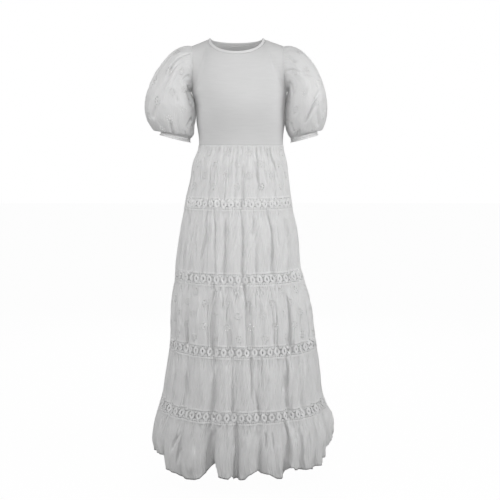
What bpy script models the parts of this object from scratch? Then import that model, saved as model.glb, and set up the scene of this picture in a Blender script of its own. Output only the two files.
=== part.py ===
"""Maxi dress: knit bodice, puff sleeves and a four-tier skirt with lace insertions and a hem ruffle.

It has the hollow form of the worn garment, in metres, +Z up. The front faces -Y and the wearer's
right is at -X. The origin lies on the shoulder line over the middle of the neck, where the wearer
holds the dress up. Every cloth piece is one closed wall: an outer grid of points worked out from
sections, and an inner grid a wall's thickness further in.
"""

from collections import namedtuple
import math

import bmesh
import bpy
import numpy as np

# Driving dimensions, in metres
COLLECTION_NAME = "maxi_dress"
SEAM_GAP = 0.0003
COTTON_WALL = 0.0018
KNIT_WALL = 0.0016
RIB_WALL = 0.0022
LACE_WALL = 0.0020

WAIST_DROP = 0.332
UNDERARM_DROP = 0.162
HEM_DROP = 1.342
TIER_DROPS = ((0.332, 0.491), (0.533, 0.722), (0.764, 0.943), (0.985, 1.141))
RUFFLE_DROPS = (1.183, HEM_DROP)

# Half sections of the dress: drop below the origin, then how far it reaches each way from the side
# seams' plane. The wearer's right is at -X.
Section = namedtuple("Section", "drop right left front back")
SECTIONS = (
    Section(0.162, 0.1455, 0.1600, 0.114, 0.105),
    Section(0.190, 0.1345, 0.1573, 0.118, 0.102),
    Section(0.225, 0.1307, 0.1550, 0.116, 0.098),
    Section(0.260, 0.1290, 0.1543, 0.108, 0.092),
    Section(0.300, 0.1228, 0.1490, 0.100, 0.088),
    Section(0.332, 0.1218, 0.1486, 0.098, 0.088),
    Section(0.385, 0.1412, 0.1613, 0.118, 0.112),
    Section(0.443, 0.1512, 0.1680, 0.130, 0.132),
    Section(0.491, 0.1630, 0.1740, 0.138, 0.146),
    Section(0.533, 0.1705, 0.1800, 0.145, 0.154),
    Section(0.598, 0.1814, 0.1946, 0.156, 0.166),
    Section(0.657, 0.1917, 0.2014, 0.166, 0.176),
    Section(0.722, 0.1990, 0.2060, 0.176, 0.187),
    Section(0.764, 0.2024, 0.2190, 0.183, 0.194),
    Section(0.834, 0.2127, 0.2384, 0.195, 0.206),
    Section(0.894, 0.2165, 0.2485, 0.206, 0.217),
    Section(0.943, 0.2170, 0.2545, 0.214, 0.225),
    Section(0.985, 0.2210, 0.2610, 0.221, 0.232),
    Section(1.074, 0.2345, 0.2729, 0.234, 0.246),
    Section(1.141, 0.2455, 0.2810, 0.243, 0.256),
    Section(1.183, 0.2580, 0.2960, 0.249, 0.262),
    Section(1.257, 0.2760, 0.3174, 0.261, 0.274),
    Section(1.300, 0.2800, 0.3180, 0.266, 0.280),
    Section(1.342, 0.2740, 0.3150, 0.268, 0.282),
)
SECTION_ROUNDNESS = 0.88

# Folds of a tier's front: where the trough lies between the wearer's right seam, 0, and the left
# seam, 1, and how deep it is at the tier's lower edge.
Fold = namedtuple("Fold", "place depth")
TIER_FOLDS = (
    tuple(
        Fold((i + 0.5 + 0.18 * math.sin(2.4 * i)) / 14, 0.0052 + 0.0016 * math.sin(1.9 * i + 0.4))
        for i in range(14)
    ),
    (
        Fold(0.080, 0.009),
        Fold(0.167, 0.014),
        Fold(0.239, 0.010),
        Fold(0.319, 0.009),
        Fold(0.433, 0.010),
        Fold(0.521, 0.011),
        Fold(0.590, 0.008),
        Fold(0.677, 0.012),
        Fold(0.813, 0.015),
        Fold(0.899, 0.010),
    ),
    (
        Fold(0.110, 0.011),
        Fold(0.228, 0.015),
        Fold(0.371, 0.015),
        Fold(0.445, 0.010),
        Fold(0.535, 0.012),
        Fold(0.640, 0.010),
        Fold(0.716, 0.016),
        Fold(0.800, 0.010),
        Fold(0.880, 0.013),
    ),
    (
        Fold(0.085, 0.011),
        Fold(0.165, 0.013),
        Fold(0.255, 0.014),
        Fold(0.385, 0.015),
        Fold(0.468, 0.013),
        Fold(0.560, 0.012),
        Fold(0.682, 0.018),
        Fold(0.755, 0.012),
        Fold(0.825, 0.013),
        Fold(0.915, 0.011),
    ),
)
RUFFLE_FOLDS = (
    Fold(0.080, 0.014),
    Fold(0.160, 0.026),
    Fold(0.262, 0.020),
    Fold(0.386, 0.046),
    Fold(0.479, 0.034),
    Fold(0.556, 0.026),
    Fold(0.653, 0.030),
    Fold(0.710, 0.016),
    Fold(0.790, 0.018),
    Fold(0.885, 0.040),
)

# How far the hem lies above its lowest level, between the wearer's right seam, 0, and the left, 1
HemPoint = namedtuple("HemPoint", "place rise")
HEM_LINES = {
    "front": (
        HemPoint(0.000, 0.012),
        HemPoint(0.080, 0.014),
        HemPoint(0.150, 0.025),
        HemPoint(0.192, 0.000),
        HemPoint(0.262, 0.003),
        HemPoint(0.330, -0.014),
        HemPoint(0.386, 0.024),
        HemPoint(0.432, -0.002),
        HemPoint(0.479, 0.018),
        HemPoint(0.524, -0.003),
        HemPoint(0.552, 0.018),
        HemPoint(0.625, -0.009),
        HemPoint(0.675, 0.020),
        HemPoint(0.740, 0.000),
        HemPoint(0.850, 0.000),
        HemPoint(0.885, 0.030),
        HemPoint(0.940, 0.070),
        HemPoint(1.000, 0.070),
    ),
    "back": (
        HemPoint(0.000, 0.012),
        HemPoint(0.115, 0.020),
        HemPoint(0.250, -0.004),
        HemPoint(0.347, 0.014),
        HemPoint(0.430, -0.006),
        HemPoint(0.521, 0.012),
        HemPoint(0.596, 0.016),
        HemPoint(0.680, -0.008),
        HemPoint(0.840, 0.014),
        HemPoint(0.920, 0.030),
        HemPoint(1.000, 0.070),
    ),
}
BACK_FOLD_SHARE = 0.9
GATHER_SHARE = 0.14
FIRST_GATHER_SHARE = 0.35
CARRY_SHARE = 0.40
CARRY_FADE = 0.07
FOLD_HALF_WIDTH_SHARE = 0.40
MOST_MITRE = 1.6

# Lace insertions: a row of rings between plain edges, cut through at its gaps
LACE_REPEATS_PER_HALF = (20, 24, 27, 31)
LACES_WITH_RING_HOLES = (0, 1)
SLOT_WIDTH = 0.0060
SLOT_HEIGHT = 0.0220
RING_HOLE_WIDTH = 0.0050
RING_HOLE_HEIGHT = 0.0110

# Neckline, as the seam between the bodice and the neckband
NECK_RIGHT = 0.0905
NECK_LEFT = 0.0895
NECK_SIDE_Z = 0.003
NECK_FRONT_REACH = 0.074
NECK_FRONT_FALL = 0.050
NECK_BACK_REACH = 0.058
NECK_BACK_FALL = 0.014
NECK_BAND_HEIGHT = 0.0085
# How the cloth faces at the neckline: sideways or forwards, and up
NECK_SIDE_FACING = (0.60, 0.80)
NECK_MIDDLE_FACING = (0.94, 0.33)

# Sleeves: each ring runs through an outer and an inner point of the outline seen from the front.
# Reaches are sideways from the middle of the neck, and the depth is half the ring's, front to back.
Ring = namedtuple("Ring", "outer_reach outer_drop inner_reach inner_drop half_depth")
RIGHT_SLEEVE = (
    Ring(0.1420, 0.0175, 0.1455, 0.1620, 0.052),
    Ring(0.1680, 0.0165, 0.1535, 0.1655, 0.066),
    Ring(0.2050, 0.0340, 0.1550, 0.1720, 0.080),
    Ring(0.2470, 0.0820, 0.1470, 0.1900, 0.091),
    Ring(0.2770, 0.1350, 0.1385, 0.2120, 0.096),
    Ring(0.2935, 0.1900, 0.1348, 0.2375, 0.094),
    Ring(0.2920, 0.2400, 0.1375, 0.2680, 0.083),
    Ring(0.2700, 0.2810, 0.1365, 0.2970, 0.064),
    Ring(0.2440, 0.2970, 0.1570, 0.3090, 0.046),
)
LEFT_SLEEVE = (
    Ring(0.1470, 0.0175, 0.1600, 0.1620, 0.052),
    Ring(0.1750, 0.0165, 0.1695, 0.1655, 0.066),
    Ring(0.2120, 0.0340, 0.1700, 0.1730, 0.080),
    Ring(0.2520, 0.0820, 0.1655, 0.1910, 0.091),
    Ring(0.2760, 0.1350, 0.1605, 0.2130, 0.096),
    Ring(0.2885, 0.1900, 0.1585, 0.2370, 0.094),
    Ring(0.2885, 0.2400, 0.1585, 0.2660, 0.083),
    Ring(0.2770, 0.2790, 0.1610, 0.2960, 0.064),
    Ring(0.2580, 0.2980, 0.1780, 0.3090, 0.046),
)
# How far the armhole seam bends inwards at its front and back, per metre of half depth
ARMHOLE_BEND = 0.10
# How fast the chest's fullness beside the armhole fades towards the middle, as a power
ARMHOLE_FADE = 1.5
SLEEVE_FOLDS = 14
SLEEVE_FOLD_SHIFT = 0.25
SLEEVE_FOLD_VARIATION = 0.20
SLEEVE_FOLD_HALF_WIDTH = 0.33
SLEEVE_FOLD_DEPTHS = (0.0015, 0.0040, 0.0050, 0.0040, 0.0030, 0.0030, 0.0045, 0.0060, 0.0020)
CUFF_HEIGHT = 0.012
CUFF_CASING_SHARE = 0.55
CUFF_FLARE = 0.004

# How finely the pieces are divided
SHOULDER_COLUMNS = 2
NECK_COLUMNS = 12
LOWER_BODICE_ROWS = 3
UPPER_BODICE_ROWS = 5
TIER_ROWS = 2
RUFFLE_ROWS = 3

FRONT = -1
BACK = 1
SIDES = {"front": FRONT, "back": BACK}

Finish = namedtuple("Finish", "colour roughness")
COTTON = Finish((0.86, 0.86, 0.85, 1.0), 0.86)
LACE = Finish((0.84, 0.84, 0.83, 1.0), 0.90)
KNIT = Finish((0.80, 0.80, 0.80, 1.0), 0.92)
RIB = Finish((0.83, 0.83, 0.83, 1.0), 0.90)


def unit(vectors):
    """The vectors at length 1."""
    return vectors / np.linalg.norm(vectors, axis=-1, keepdims=True)


def through_rows(places, values, at):
    """A smooth curve through the rows of a table, as cubic Hermite pieces."""
    places = np.asarray(places, float)
    values = np.asarray(values, float)
    at = np.clip(np.asarray(at, float), places[0], places[-1])
    slopes = np.gradient(values, places)
    i = np.clip(np.searchsorted(places, at, side="right") - 1, 0, len(places) - 2)
    step = places[i + 1] - places[i]
    t = (at - places[i]) / step
    return (
        values[i] * (1 + 2 * t) * (1 - t) ** 2
        + slopes[i] * step * t * (1 - t) ** 2
        + values[i + 1] * t * t * (3 - 2 * t)
        + slopes[i + 1] * step * t * t * (t - 1)
    )


def section_reach(column, drop):
    """How far the dress reaches one way at this drop."""
    drops = [section.drop for section in SECTIONS]
    return through_rows(drops, [getattr(section, column) for section in SECTIONS], drop)


def half_plan(drop, place, side):
    """The smooth plan of the front or back half, without folds, from the right seam to the left."""
    right, left = section_reach("right", drop), section_reach("left", drop)
    depth = section_reach("front" if side == FRONT else "back", drop)
    angle = np.pi * np.asarray(place, float)
    x = (left - right) / 2 - (left + right) / 2 * np.cos(angle)
    y = side * depth * np.abs(np.sin(angle)) ** SECTION_ROUNDNESS
    return np.stack([x, y], axis=-1)


def plan_normal(drop, place, side):
    """The outward direction of the plan. At a side seam it is straight out to that side."""
    place = np.asarray(place, float)
    step = 1e-3
    ahead = half_plan(drop, np.minimum(place + step, 1), side)
    along = ahead - half_plan(drop, np.maximum(place - step, 0), side)
    normal = np.stack([along[..., 1], -along[..., 0]], axis=-1) * -side
    normal /= np.linalg.norm(normal, axis=-1, keepdims=True)
    normal[place <= 0] = (-1, 0)
    normal[place >= 1] = (1, 0)
    return normal


def half_folds(folds, side):
    """A tier's folds on one half. The back has similar folds in the opposite order."""
    if side == FRONT:
        return folds
    return tuple(Fold(1 - fold.place, fold.depth * BACK_FOLD_SHARE) for fold in reversed(folds))


def fold_half_widths(folds):
    """Half of each trough's width: a share of the way to the nearer neighbour or seam."""
    places = np.array([-folds[0].place] + [fold.place for fold in folds] + [2 - folds[-1].place])
    return FOLD_HALF_WIDTH_SHARE * np.minimum(np.diff(places)[:-1], np.diff(places)[1:])


def fold_depth(folds, place):
    """How deep the cloth lies below its ridges: a soft trough at each fold, and 0 between them."""
    place = np.asarray(place, float)
    depth = np.zeros_like(place)
    for fold, half_width in zip(folds, fold_half_widths(folds)):
        t = np.clip(np.abs(place - fold.place) / half_width, 0, 1)
        depth += fold.depth * np.cos(np.pi / 2 * t) ** 2
    return depth


def fold_columns(folds):
    """The places that a folded panel is divided at: each trough and both of its shoulders."""
    places = [0.0, 1.0]
    for fold, half_width in zip(folds, fold_half_widths(folds)):
        places += [fold.place - half_width, fold.place, fold.place + half_width]
    return np.array(sorted(places))


def skirt_layers():
    """Each gathered layer's folds, its top and bottom drop, and the share of depth at its top."""
    layers = [(TIER_FOLDS[0], *TIER_DROPS[0], FIRST_GATHER_SHARE)]
    layers += [(folds, *drops, GATHER_SHARE) for folds, drops in zip(TIER_FOLDS[1:], TIER_DROPS[1:])]
    layers.append((RUFFLE_FOLDS, *RUFFLE_DROPS, GATHER_SHARE))
    return layers


def skirt_depth(drop, place, side):
    """How deep the skirt's folds are. A layer's folds grow to its lower edge and fade out below it."""
    depth = np.zeros(np.broadcast(drop, place).shape)
    starts = [layer[1] for layer in skirt_layers()] + [2 * HEM_DROP]
    for (folds, top, bottom, gather), next_top in zip(skirt_layers(), starts[1:]):
        share = np.interp(
            drop,
            (top, bottom, next_top, next_top + CARRY_FADE),
            (gather, 1.0, CARRY_SHARE, 0.0),
        )
        depth += np.where(np.asarray(drop) < top, 0, share) * fold_depth(half_folds(folds, side), place)
    return depth


def hem_rise(place, side):
    """How far the hem lies above its lowest level."""
    line = HEM_LINES["front" if side == FRONT else "back"]
    return np.interp(place, [point.place for point in line], [point.rise for point in line])


def skirt_points(drop, place, side, inwards=0.0):
    """Points of the skirt's wall, moved in from its outer surface, with a flat edge at each side seam."""
    drop, place = np.broadcast_arrays(np.asarray(drop, float), np.asarray(place, float))
    plan = half_plan(drop, place, side)
    plan = plan - plan_normal(drop, place, side) * (skirt_depth(drop, place, side) + inwards)[..., None]
    at_seam = (place <= 0) | (place >= 1)
    plan[..., 1] = np.where(at_seam, side * SEAM_GAP / 2, plan[..., 1])
    lowering = np.clip((drop - RUFFLE_DROPS[0]) / (HEM_DROP - RUFFLE_DROPS[0]), 0, 1)
    return np.concatenate([plan, (lowering * hem_rise(place, side) - drop)[..., None]], axis=-1)


def inner_rows(rows, side, wall):
    """The inner face of a folded wall: each point moved in, square to the cloth on both sides of it."""
    along = unit(np.diff(rows[..., :2], axis=1))
    square = np.stack([along[..., 1], -along[..., 0]], axis=-1) * -side
    both = square[:, :-1] + square[:, 1:]
    length = np.linalg.norm(both, axis=-1, keepdims=True)
    mitre = both / length * np.minimum(2 / length, MOST_MITRE)
    inner = rows.copy()
    inner[:, 1:-1, :2] -= mitre * wall
    inner[:, 0, 0] += wall
    inner[:, -1, 0] -= wall
    return inner


def halved(face):
    """A four-sided face as two triangles, cut from its first corner to its third."""
    return [face] if len(face) == 3 else [face[:3], (face[0], face[2], face[3])]


def both_skins(faces, count):
    """A wall's outer triangles, and the inner ones behind them, cut along the same diagonals.

    An inner point's number is its outer point's plus count.
    """
    outer = [triangle for face in faces for triangle in halved(face)]
    return outer + [tuple(count + v for v in reversed(triangle)) for triangle in outer]


def grid_faces(rows, columns, wrap):
    """The quads of a grid of points, closed round when it wraps."""
    faces = []
    for i in range(rows - 1):
        for j in range(columns if wrap else columns - 1):
            k = (j + 1) % columns
            faces.append((i * columns + j, i * columns + k, (i + 1) * columns + k, (i + 1) * columns + j))
    return faces


def wall_mesh(outer, inner, wrap):
    """A closed wall between two grids of points with the same rows and columns."""
    rows, columns = outer.shape[:2]
    count = rows * columns
    faces = both_skins(grid_faces(rows, columns, wrap), count)
    across = [(j, (j + 1) % columns) for j in range(columns if wrap else columns - 1)]
    edges = across + [((rows - 1) * columns + b, (rows - 1) * columns + a) for a, b in across]
    if not wrap:
        for i in range(rows - 1):
            edges.append((i * columns, (i + 1) * columns))
            edges.append(((i + 1) * columns + columns - 1, i * columns + columns - 1))
    faces += [(a, b, count + b, count + a) for a, b in edges]
    return np.concatenate([outer.reshape(-1, 3), inner.reshape(-1, 3)]), faces


def material_named(name, finish):
    """The piece's own material."""
    material = bpy.data.materials.new(name)
    material.use_nodes = True
    shader = material.node_tree.nodes["Principled BSDF"]
    shader.inputs["Base Color"].default_value = finish.colour
    shader.inputs["Roughness"].default_value = finish.roughness
    shader.inputs["Metallic"].default_value = 0.0
    return material


def add_piece(name, points, faces, finish):
    """One named cloth piece, with its faces pointing out."""
    mesh = bpy.data.meshes.new(name)
    mesh.from_pydata([tuple(point) for point in points], [], faces)
    shape = bmesh.new()
    shape.from_mesh(mesh)
    bmesh.ops.recalc_face_normals(shape, faces=shape.faces)
    shape.to_mesh(mesh)
    shape.free()
    mesh.shade_smooth()
    mesh.set_sharp_from_angle(angle=math.radians(50))
    mesh.materials.append(material_named(name, finish))
    piece = bpy.data.objects.new(name, mesh)
    bpy.data.collections[COLLECTION_NAME].objects.link(piece)
    return piece


def folded_panel(name, folds, drops, rows, side, finish):
    """A gathered tier or ruffle, between the side seams and a seam gap short of its neighbours."""
    top, bottom = drops[0] + SEAM_GAP / 2, drops[1] - SEAM_GAP / 2
    places = fold_columns(half_folds(folds, side))[None, :]
    levels = np.linspace(top, bottom, rows + 1)[:, None]
    outer = skirt_points(levels, places, side)
    add_piece(name, *wall_mesh(outer, inner_rows(outer, side, COTTON_WALL), wrap=False), finish)


def even_places(drop, side, fractions):
    """The places at these fractions of the length along the cloth, folds included."""
    fine = np.linspace(0, 1, 801)
    line = skirt_points(drop, fine, side)
    length = np.concatenate([[0], np.cumsum(np.linalg.norm(np.diff(line, axis=0), axis=1))])
    return np.interp(np.asarray(fractions) * length[-1], length, fine), length[-1]


def lace_gaps(index, middle, side):
    """The gaps of one half of a lace insertion, as (start place, end place, half height, is a slot)."""
    repeats = LACE_REPEATS_PER_HALF[index]
    _, length = even_places(middle, side, [1.0])
    gaps = [((i + 0.5) / repeats, SLOT_WIDTH, SLOT_HEIGHT, True) for i in range(repeats)]
    if index in LACES_WITH_RING_HOLES:
        gaps += [(i / repeats, RING_HOLE_WIDTH, RING_HOLE_HEIGHT, False) for i in range(1, repeats)]
    gaps.sort()
    starts, _ = even_places(middle, side, [centre - width / 2 / length for centre, width, _, _ in gaps])
    ends, _ = even_places(middle, side, [centre + width / 2 / length for centre, width, _, _ in gaps])
    return [(start, end, gap[2] / 2, gap[3]) for start, end, gap in zip(starts, ends, gaps)]


def edge_strip(edge, inner_line, partners):
    """Triangles between a band's edge and the line of gap corners beside it, from seam to seam.

    Each point of the inner line has a partner on the edge, which never runs backwards.
    """
    faces = []
    for (point, partner), (following, next_partner) in zip(
        zip(inner_line, partners), zip(inner_line[1:], partners[1:])
    ):
        if partner != next_partner:
            faces.append((edge[partner], point, edge[next_partner]))
        faces.append((edge[next_partner], point, following))
    return [face for face in faces if len(set(face)) == 3]


def lace_panel(name, index, side):
    """One half of a lace insertion: a wall cut through at every gap.

    Its edges have a point at each seam and over each slot, and every gap has four corners.
    """
    top = TIER_DROPS[index][1] + SEAM_GAP / 2
    bottom = (*TIER_DROPS, RUFFLE_DROPS)[index + 1][0] - SEAM_GAP / 2
    middle = (top + bottom) / 2
    gaps = lace_gaps(index, middle, side)
    edge_places = [0.0] + [(start + end) / 2 for start, end, _, is_slot in gaps if is_slot] + [1.0]
    spots = [(place, top) for place in edge_places] + [(place, bottom) for place in edge_places]
    stations = len(edge_places)
    upper_edge, lower_edge = range(stations), range(stations, 2 * stations)
    upper_line, lower_line, partners, faces, rims = [0], [stations], [0], [], []
    slots_passed = 0
    for start, end, half_height, is_slot in gaps:
        slots_passed += is_slot
        first = len(spots)
        spots += [(start, middle - half_height), (end, middle - half_height)]
        spots += [(end, middle + half_height), (start, middle + half_height)]
        faces.append((upper_line[-1], lower_line[-1], first + 3, first))
        rims += [(first + (k + 1) % 4, first + k) for k in range(4)]
        upper_line += [first, first + 1]
        lower_line += [first + 3, first + 2]
        partners += [slots_passed, slots_passed]
    last = stations - 1
    faces.append((upper_line[-1], lower_line[-1], lower_edge[last], upper_edge[last]))
    upper_line, lower_line, partners = upper_line + [last], lower_line + [stations + last], partners + [last]
    faces += edge_strip(upper_edge, upper_line, partners)
    faces += [tuple(reversed(face)) for face in edge_strip(lower_edge, lower_line, partners)]
    rims += [(j, j + 1) for j in range(last)]
    rims += [(stations + j + 1, stations + j) for j in range(last)]
    rims += [(stations, 0), (last, stations + last)]
    places, drops = np.array(spots).T
    outer = skirt_points(drops, places, side)
    inner = skirt_points(drops, places, side, LACE_WALL)
    count = len(spots)
    faces = both_skins(faces, count)
    faces += [(a, b, count + b, count + a) for a, b in rims]
    add_piece(name, np.concatenate([outer, inner]), faces, LACE)


def neck_point(angle, side):
    """The neckline seam, from the right neck point at 0 to the left one at pi."""
    angle = np.asarray(angle, float)
    reach, fall = (NECK_FRONT_REACH, NECK_FRONT_FALL) if side == FRONT else (NECK_BACK_REACH, NECK_BACK_FALL)
    x = (NECK_LEFT - NECK_RIGHT) / 2 - (NECK_LEFT + NECK_RIGHT) / 2 * np.cos(angle)
    return np.stack([x, side * reach * np.sin(angle), NECK_SIDE_Z - fall * np.sin(angle)], axis=-1)


def neck_frame(angle, side):
    """The neckline seam's outward normal, and the direction up the cloth across the seam."""
    angle = np.asarray(angle, float)
    sideways, side_rise = NECK_SIDE_FACING
    forwards, middle_rise = NECK_MIDDLE_FACING
    rise = side_rise * np.cos(angle) ** 2 + middle_rise * np.sin(angle) ** 2
    lean = np.stack([-sideways * np.cos(angle), side * forwards * np.sin(angle), rise], axis=-1)
    step = 1e-3
    along = unit(neck_point(angle + step, side) - neck_point(angle - step, side))
    along = np.where((np.abs(np.cos(angle)) > 0.9999)[..., None], (0, side, 0), along)
    normal = unit(lean - (lean * along).sum(-1, keepdims=True) * along)
    up = np.cross(along, normal)
    return normal, up * np.sign(up[..., 2:3])


def neck_band():
    """The rib strip that stands up from the neckline seam, all round the neck."""
    turns = np.arange(2 * NECK_COLUMNS) * np.pi / NECK_COLUMNS
    side_of = np.where(turns < np.pi, FRONT, BACK)
    base, normal, up = [], [], []
    for turn, side in zip(turns, side_of):
        angle = turn if side == FRONT else 2 * np.pi - turn
        base.append(neck_point(angle, side))
        frame = neck_frame(angle, side)
        normal.append(frame[0])
        up.append(frame[1])
    base, normal, up = np.array(base), np.array(normal), np.array(up)
    heights = (SEAM_GAP / 2, SEAM_GAP / 2 + NECK_BAND_HEIGHT)
    outer = np.stack([base + up * height for height in heights])
    add_piece("neck_band", *wall_mesh(outer, outer - normal * RIB_WALL, wrap=True), RIB)


def sleeve_sizes(hand):
    """The sleeve's rings, and the direction it points in, -1 or 1."""
    return (RIGHT_SLEEVE, -1) if hand == "right" else (LEFT_SLEEVE, 1)


def ring_points(ring, bend, outwards, angle, inwards):
    """Points round one sleeve ring, moved in from it: 0 is outside, pi / 2 in front, pi inside."""
    outer = np.array([ring.outer_reach, -ring.outer_drop])
    inner = np.array([ring.inner_reach, -ring.inner_drop])
    half_height = np.linalg.norm(outer - inner) / 2
    axis = (outer - inner) / 2 / half_height
    normal = unit(np.stack([np.cos(angle) / half_height, np.sin(angle) / ring.half_depth], axis=-1))
    along = half_height * np.cos(angle) - inwards * normal[..., 0]
    depth = ring.half_depth * np.sin(angle) - inwards * normal[..., 1]
    reach = (outer[0] + inner[0]) / 2 + axis[0] * along - bend * np.abs(depth)
    height = (outer[1] + inner[1]) / 2 + axis[1] * along
    return np.stack([outwards * reach, -depth, height], axis=-1)


def sleeve_columns():
    """The angles that a sleeve is divided at, and the share of the fold depth at each."""
    spacing = 2 * np.pi / SLEEVE_FOLDS
    angles, shares = [], []
    for i in range(SLEEVE_FOLDS):
        trough = (i + SLEEVE_FOLD_SHIFT * math.sin(1.7 * i)) * spacing
        half_width = SLEEVE_FOLD_HALF_WIDTH * spacing
        angles += [trough - half_width, trough, trough + half_width]
        shares += [0.0, 1 - SLEEVE_FOLD_VARIATION * (1 - math.sin(2.3 * i)), 0.0]
    return np.array(angles), np.array(shares)


def sleeve(hand):
    """A puff sleeve, from the armhole seam to the seam above the elastic."""
    rings, outwards = sleeve_sizes(hand)
    angles, shares = sleeve_columns()
    bends = ARMHOLE_BEND * np.clip(1 - np.arange(len(rings)) / 2, 0, 1)
    walls = []
    for wall in (0.0, COTTON_WALL):
        rows = [
            ring_points(ring, ring_bend, outwards, angles, depth * shares + wall)
            for ring, ring_bend, depth in zip(rings, bends, SLEEVE_FOLD_DEPTHS)
        ]
        rows[0] = rows[0] + (outwards * SEAM_GAP, 0, 0)
        walls.append(np.array(rows))
    add_piece(f"sleeve_{hand}", *wall_mesh(*walls, wrap=True), COTTON)


def cuff(hand):
    """The elastic casing below a sleeve, opening out into a small frill."""
    rings, outwards = sleeve_sizes(hand)
    ring = rings[-1]
    angles, shares = sleeve_columns()
    across = unit(np.array([ring.outer_reach - ring.inner_reach, ring.inner_drop - ring.outer_drop]))
    down = np.array([outwards * across[1], 0, -across[0]])
    levels = (
        (SEAM_GAP, 0.0),
        (SEAM_GAP + CUFF_CASING_SHARE * CUFF_HEIGHT, 0.0),
        (SEAM_GAP + CUFF_HEIGHT, CUFF_FLARE),
    )
    walls = []
    for wall in (0.0, COTTON_WALL):
        rows = [
            ring_points(ring, 0.0, outwards, angles, SLEEVE_FOLD_DEPTHS[-1] * shares - flare + wall)
            + down * level
            for level, flare in levels
        ]
        walls.append(np.array(rows))
    add_piece(f"cuff_{hand}", *wall_mesh(*walls, wrap=True), COTTON)


def armhole_edge(hand, side, rises):
    """The bodice's edge along the armhole seam, from the underarm at 0 to the shoulder at 1."""
    rings, outwards = sleeve_sizes(hand)
    angle = np.pi * (1 - np.asarray(rises))
    points = ring_points(rings[0], ARMHOLE_BEND, outwards, angle, 0.0)
    points[..., 1] = side * np.abs(points[..., 1])
    return points


def bodice_top(side):
    """The top edge of a bodice panel: right shoulder seam, neckline, left shoulder seam."""
    angles = np.linspace(0, np.pi, NECK_COLUMNS + 1)
    _, up = neck_frame(angles, side)
    neckline = neck_point(angles, side) - up * SEAM_GAP / 2
    right = armhole_edge("right", side, [1.0])[0]
    left = armhole_edge("left", side, [1.0])[0]
    steps = np.linspace(0, 1, SHOULDER_COLUMNS + 1)[:-1, None]
    return np.concatenate(
        [right + (neckline[0] - right) * steps, neckline, (left + (neckline[-1] - left) * steps)[::-1]]
    )


def bodice_grid(side):
    """The outer points of a bodice panel, from the waist seam up to the shoulders and the neckline."""
    columns = NECK_COLUMNS + 2 * SHOULDER_COLUMNS
    places = np.arange(columns + 1) / columns
    rows = []
    for drop in np.linspace(WAIST_DROP - SEAM_GAP / 2, UNDERARM_DROP, LOWER_BODICE_ROWS + 1):
        plan = half_plan(drop, places, side)
        rows.append(np.column_stack([plan, np.full(columns + 1, -drop)]))
    chest, top = rows[-1], bodice_top(side)
    for rise in np.arange(1, UPPER_BODICE_ROWS + 1) / UPPER_BODICE_ROWS:
        row = chest + (top - chest) * rise
        for end, hand, share in (
            (0, "right", np.clip(1 - 2 * places, 0, 1) ** ARMHOLE_FADE),
            (-1, "left", np.clip(2 * places - 1, 0, 1) ** ARMHOLE_FADE),
        ):
            edge = armhole_edge(hand, side, [rise])[0]
            row = row + share[:, None] * (edge - (chest[end] + (top[end] - chest[end]) * rise))
        rows.append(row)
    grid = np.array(rows)
    grid[..., 1] = side * np.maximum(side * grid[..., 1], SEAM_GAP / 2)
    return grid


def bodice_normals(grid, side):
    """Outward normals of a bodice panel, laid flat along its seams so that the seam gaps stay even."""
    up, across = np.gradient(grid, axis=0), np.gradient(grid, axis=1)
    normals = unit(np.cross(across, up)) * -side
    normals *= np.sign((normals[..., 1:2] * side).sum())
    normals[: LOWER_BODICE_ROWS + 1, 0] = (-1, 0, 0)
    normals[: LOWER_BODICE_ROWS + 1, -1] = (1, 0, 0)
    normals[0, :, 2] = 0
    normals[-1, : SHOULDER_COLUMNS + 1, 1] = 0
    normals[-1, -SHOULDER_COLUMNS - 1 :, 1] = 0
    normals = unit(normals)
    neck_angles = np.linspace(0, np.pi, NECK_COLUMNS + 1)
    normals[-1, SHOULDER_COLUMNS : SHOULDER_COLUMNS + NECK_COLUMNS + 1] = neck_frame(neck_angles, side)[0]
    return normals


def bodice(name, side):
    """A knit bodice panel with smooth outer and inner faces."""
    outer = bodice_grid(side)
    inner = outer - bodice_normals(outer, side) * KNIT_WALL
    inner[..., 1] = side * np.maximum(side * inner[..., 1], SEAM_GAP / 2)
    add_piece(name, *wall_mesh(outer, inner, wrap=False), KNIT)


def clear_scene():
    """Removes the objects of the scene and starts the dress's own collection."""
    for item in list(bpy.data.objects):
        bpy.data.objects.remove(item, do_unlink=True)
    collection = bpy.data.collections.new(COLLECTION_NAME)
    bpy.context.scene.collection.children.link(collection)


def main():
    clear_scene()
    neck_band()
    for half, side in SIDES.items():
        bodice(f"bodice_{half}", side)
        for index, (folds, drops) in enumerate(zip(TIER_FOLDS, TIER_DROPS)):
            folded_panel(f"tier_{index + 1}_{half}", folds, drops, TIER_ROWS, side, COTTON)
            lace_panel(f"lace_{index + 1}_{half}", index, side)
        folded_panel(f"ruffle_{half}", RUFFLE_FOLDS, RUFFLE_DROPS, RUFFLE_ROWS, side, COTTON)
    for hand in ("right", "left"):
        sleeve(hand)
        cuff(hand)


main()
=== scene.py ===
"""Maxi dress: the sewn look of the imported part, in metres, with the front towards -Y.

Each cloth piece is a thin sheet on its solid's form. The same sections, folds and rings as the
solids' give the form, and gathers, creases, crinkles, lace stitches and eyelets are added to it.
"""

import logging
import math
from collections.abc import Callable
from dataclasses import dataclass, field
from enum import Enum

import bpy
import numpy as np
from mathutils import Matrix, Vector
from mathutils.geometry import delaunay_2d_cdt


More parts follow.
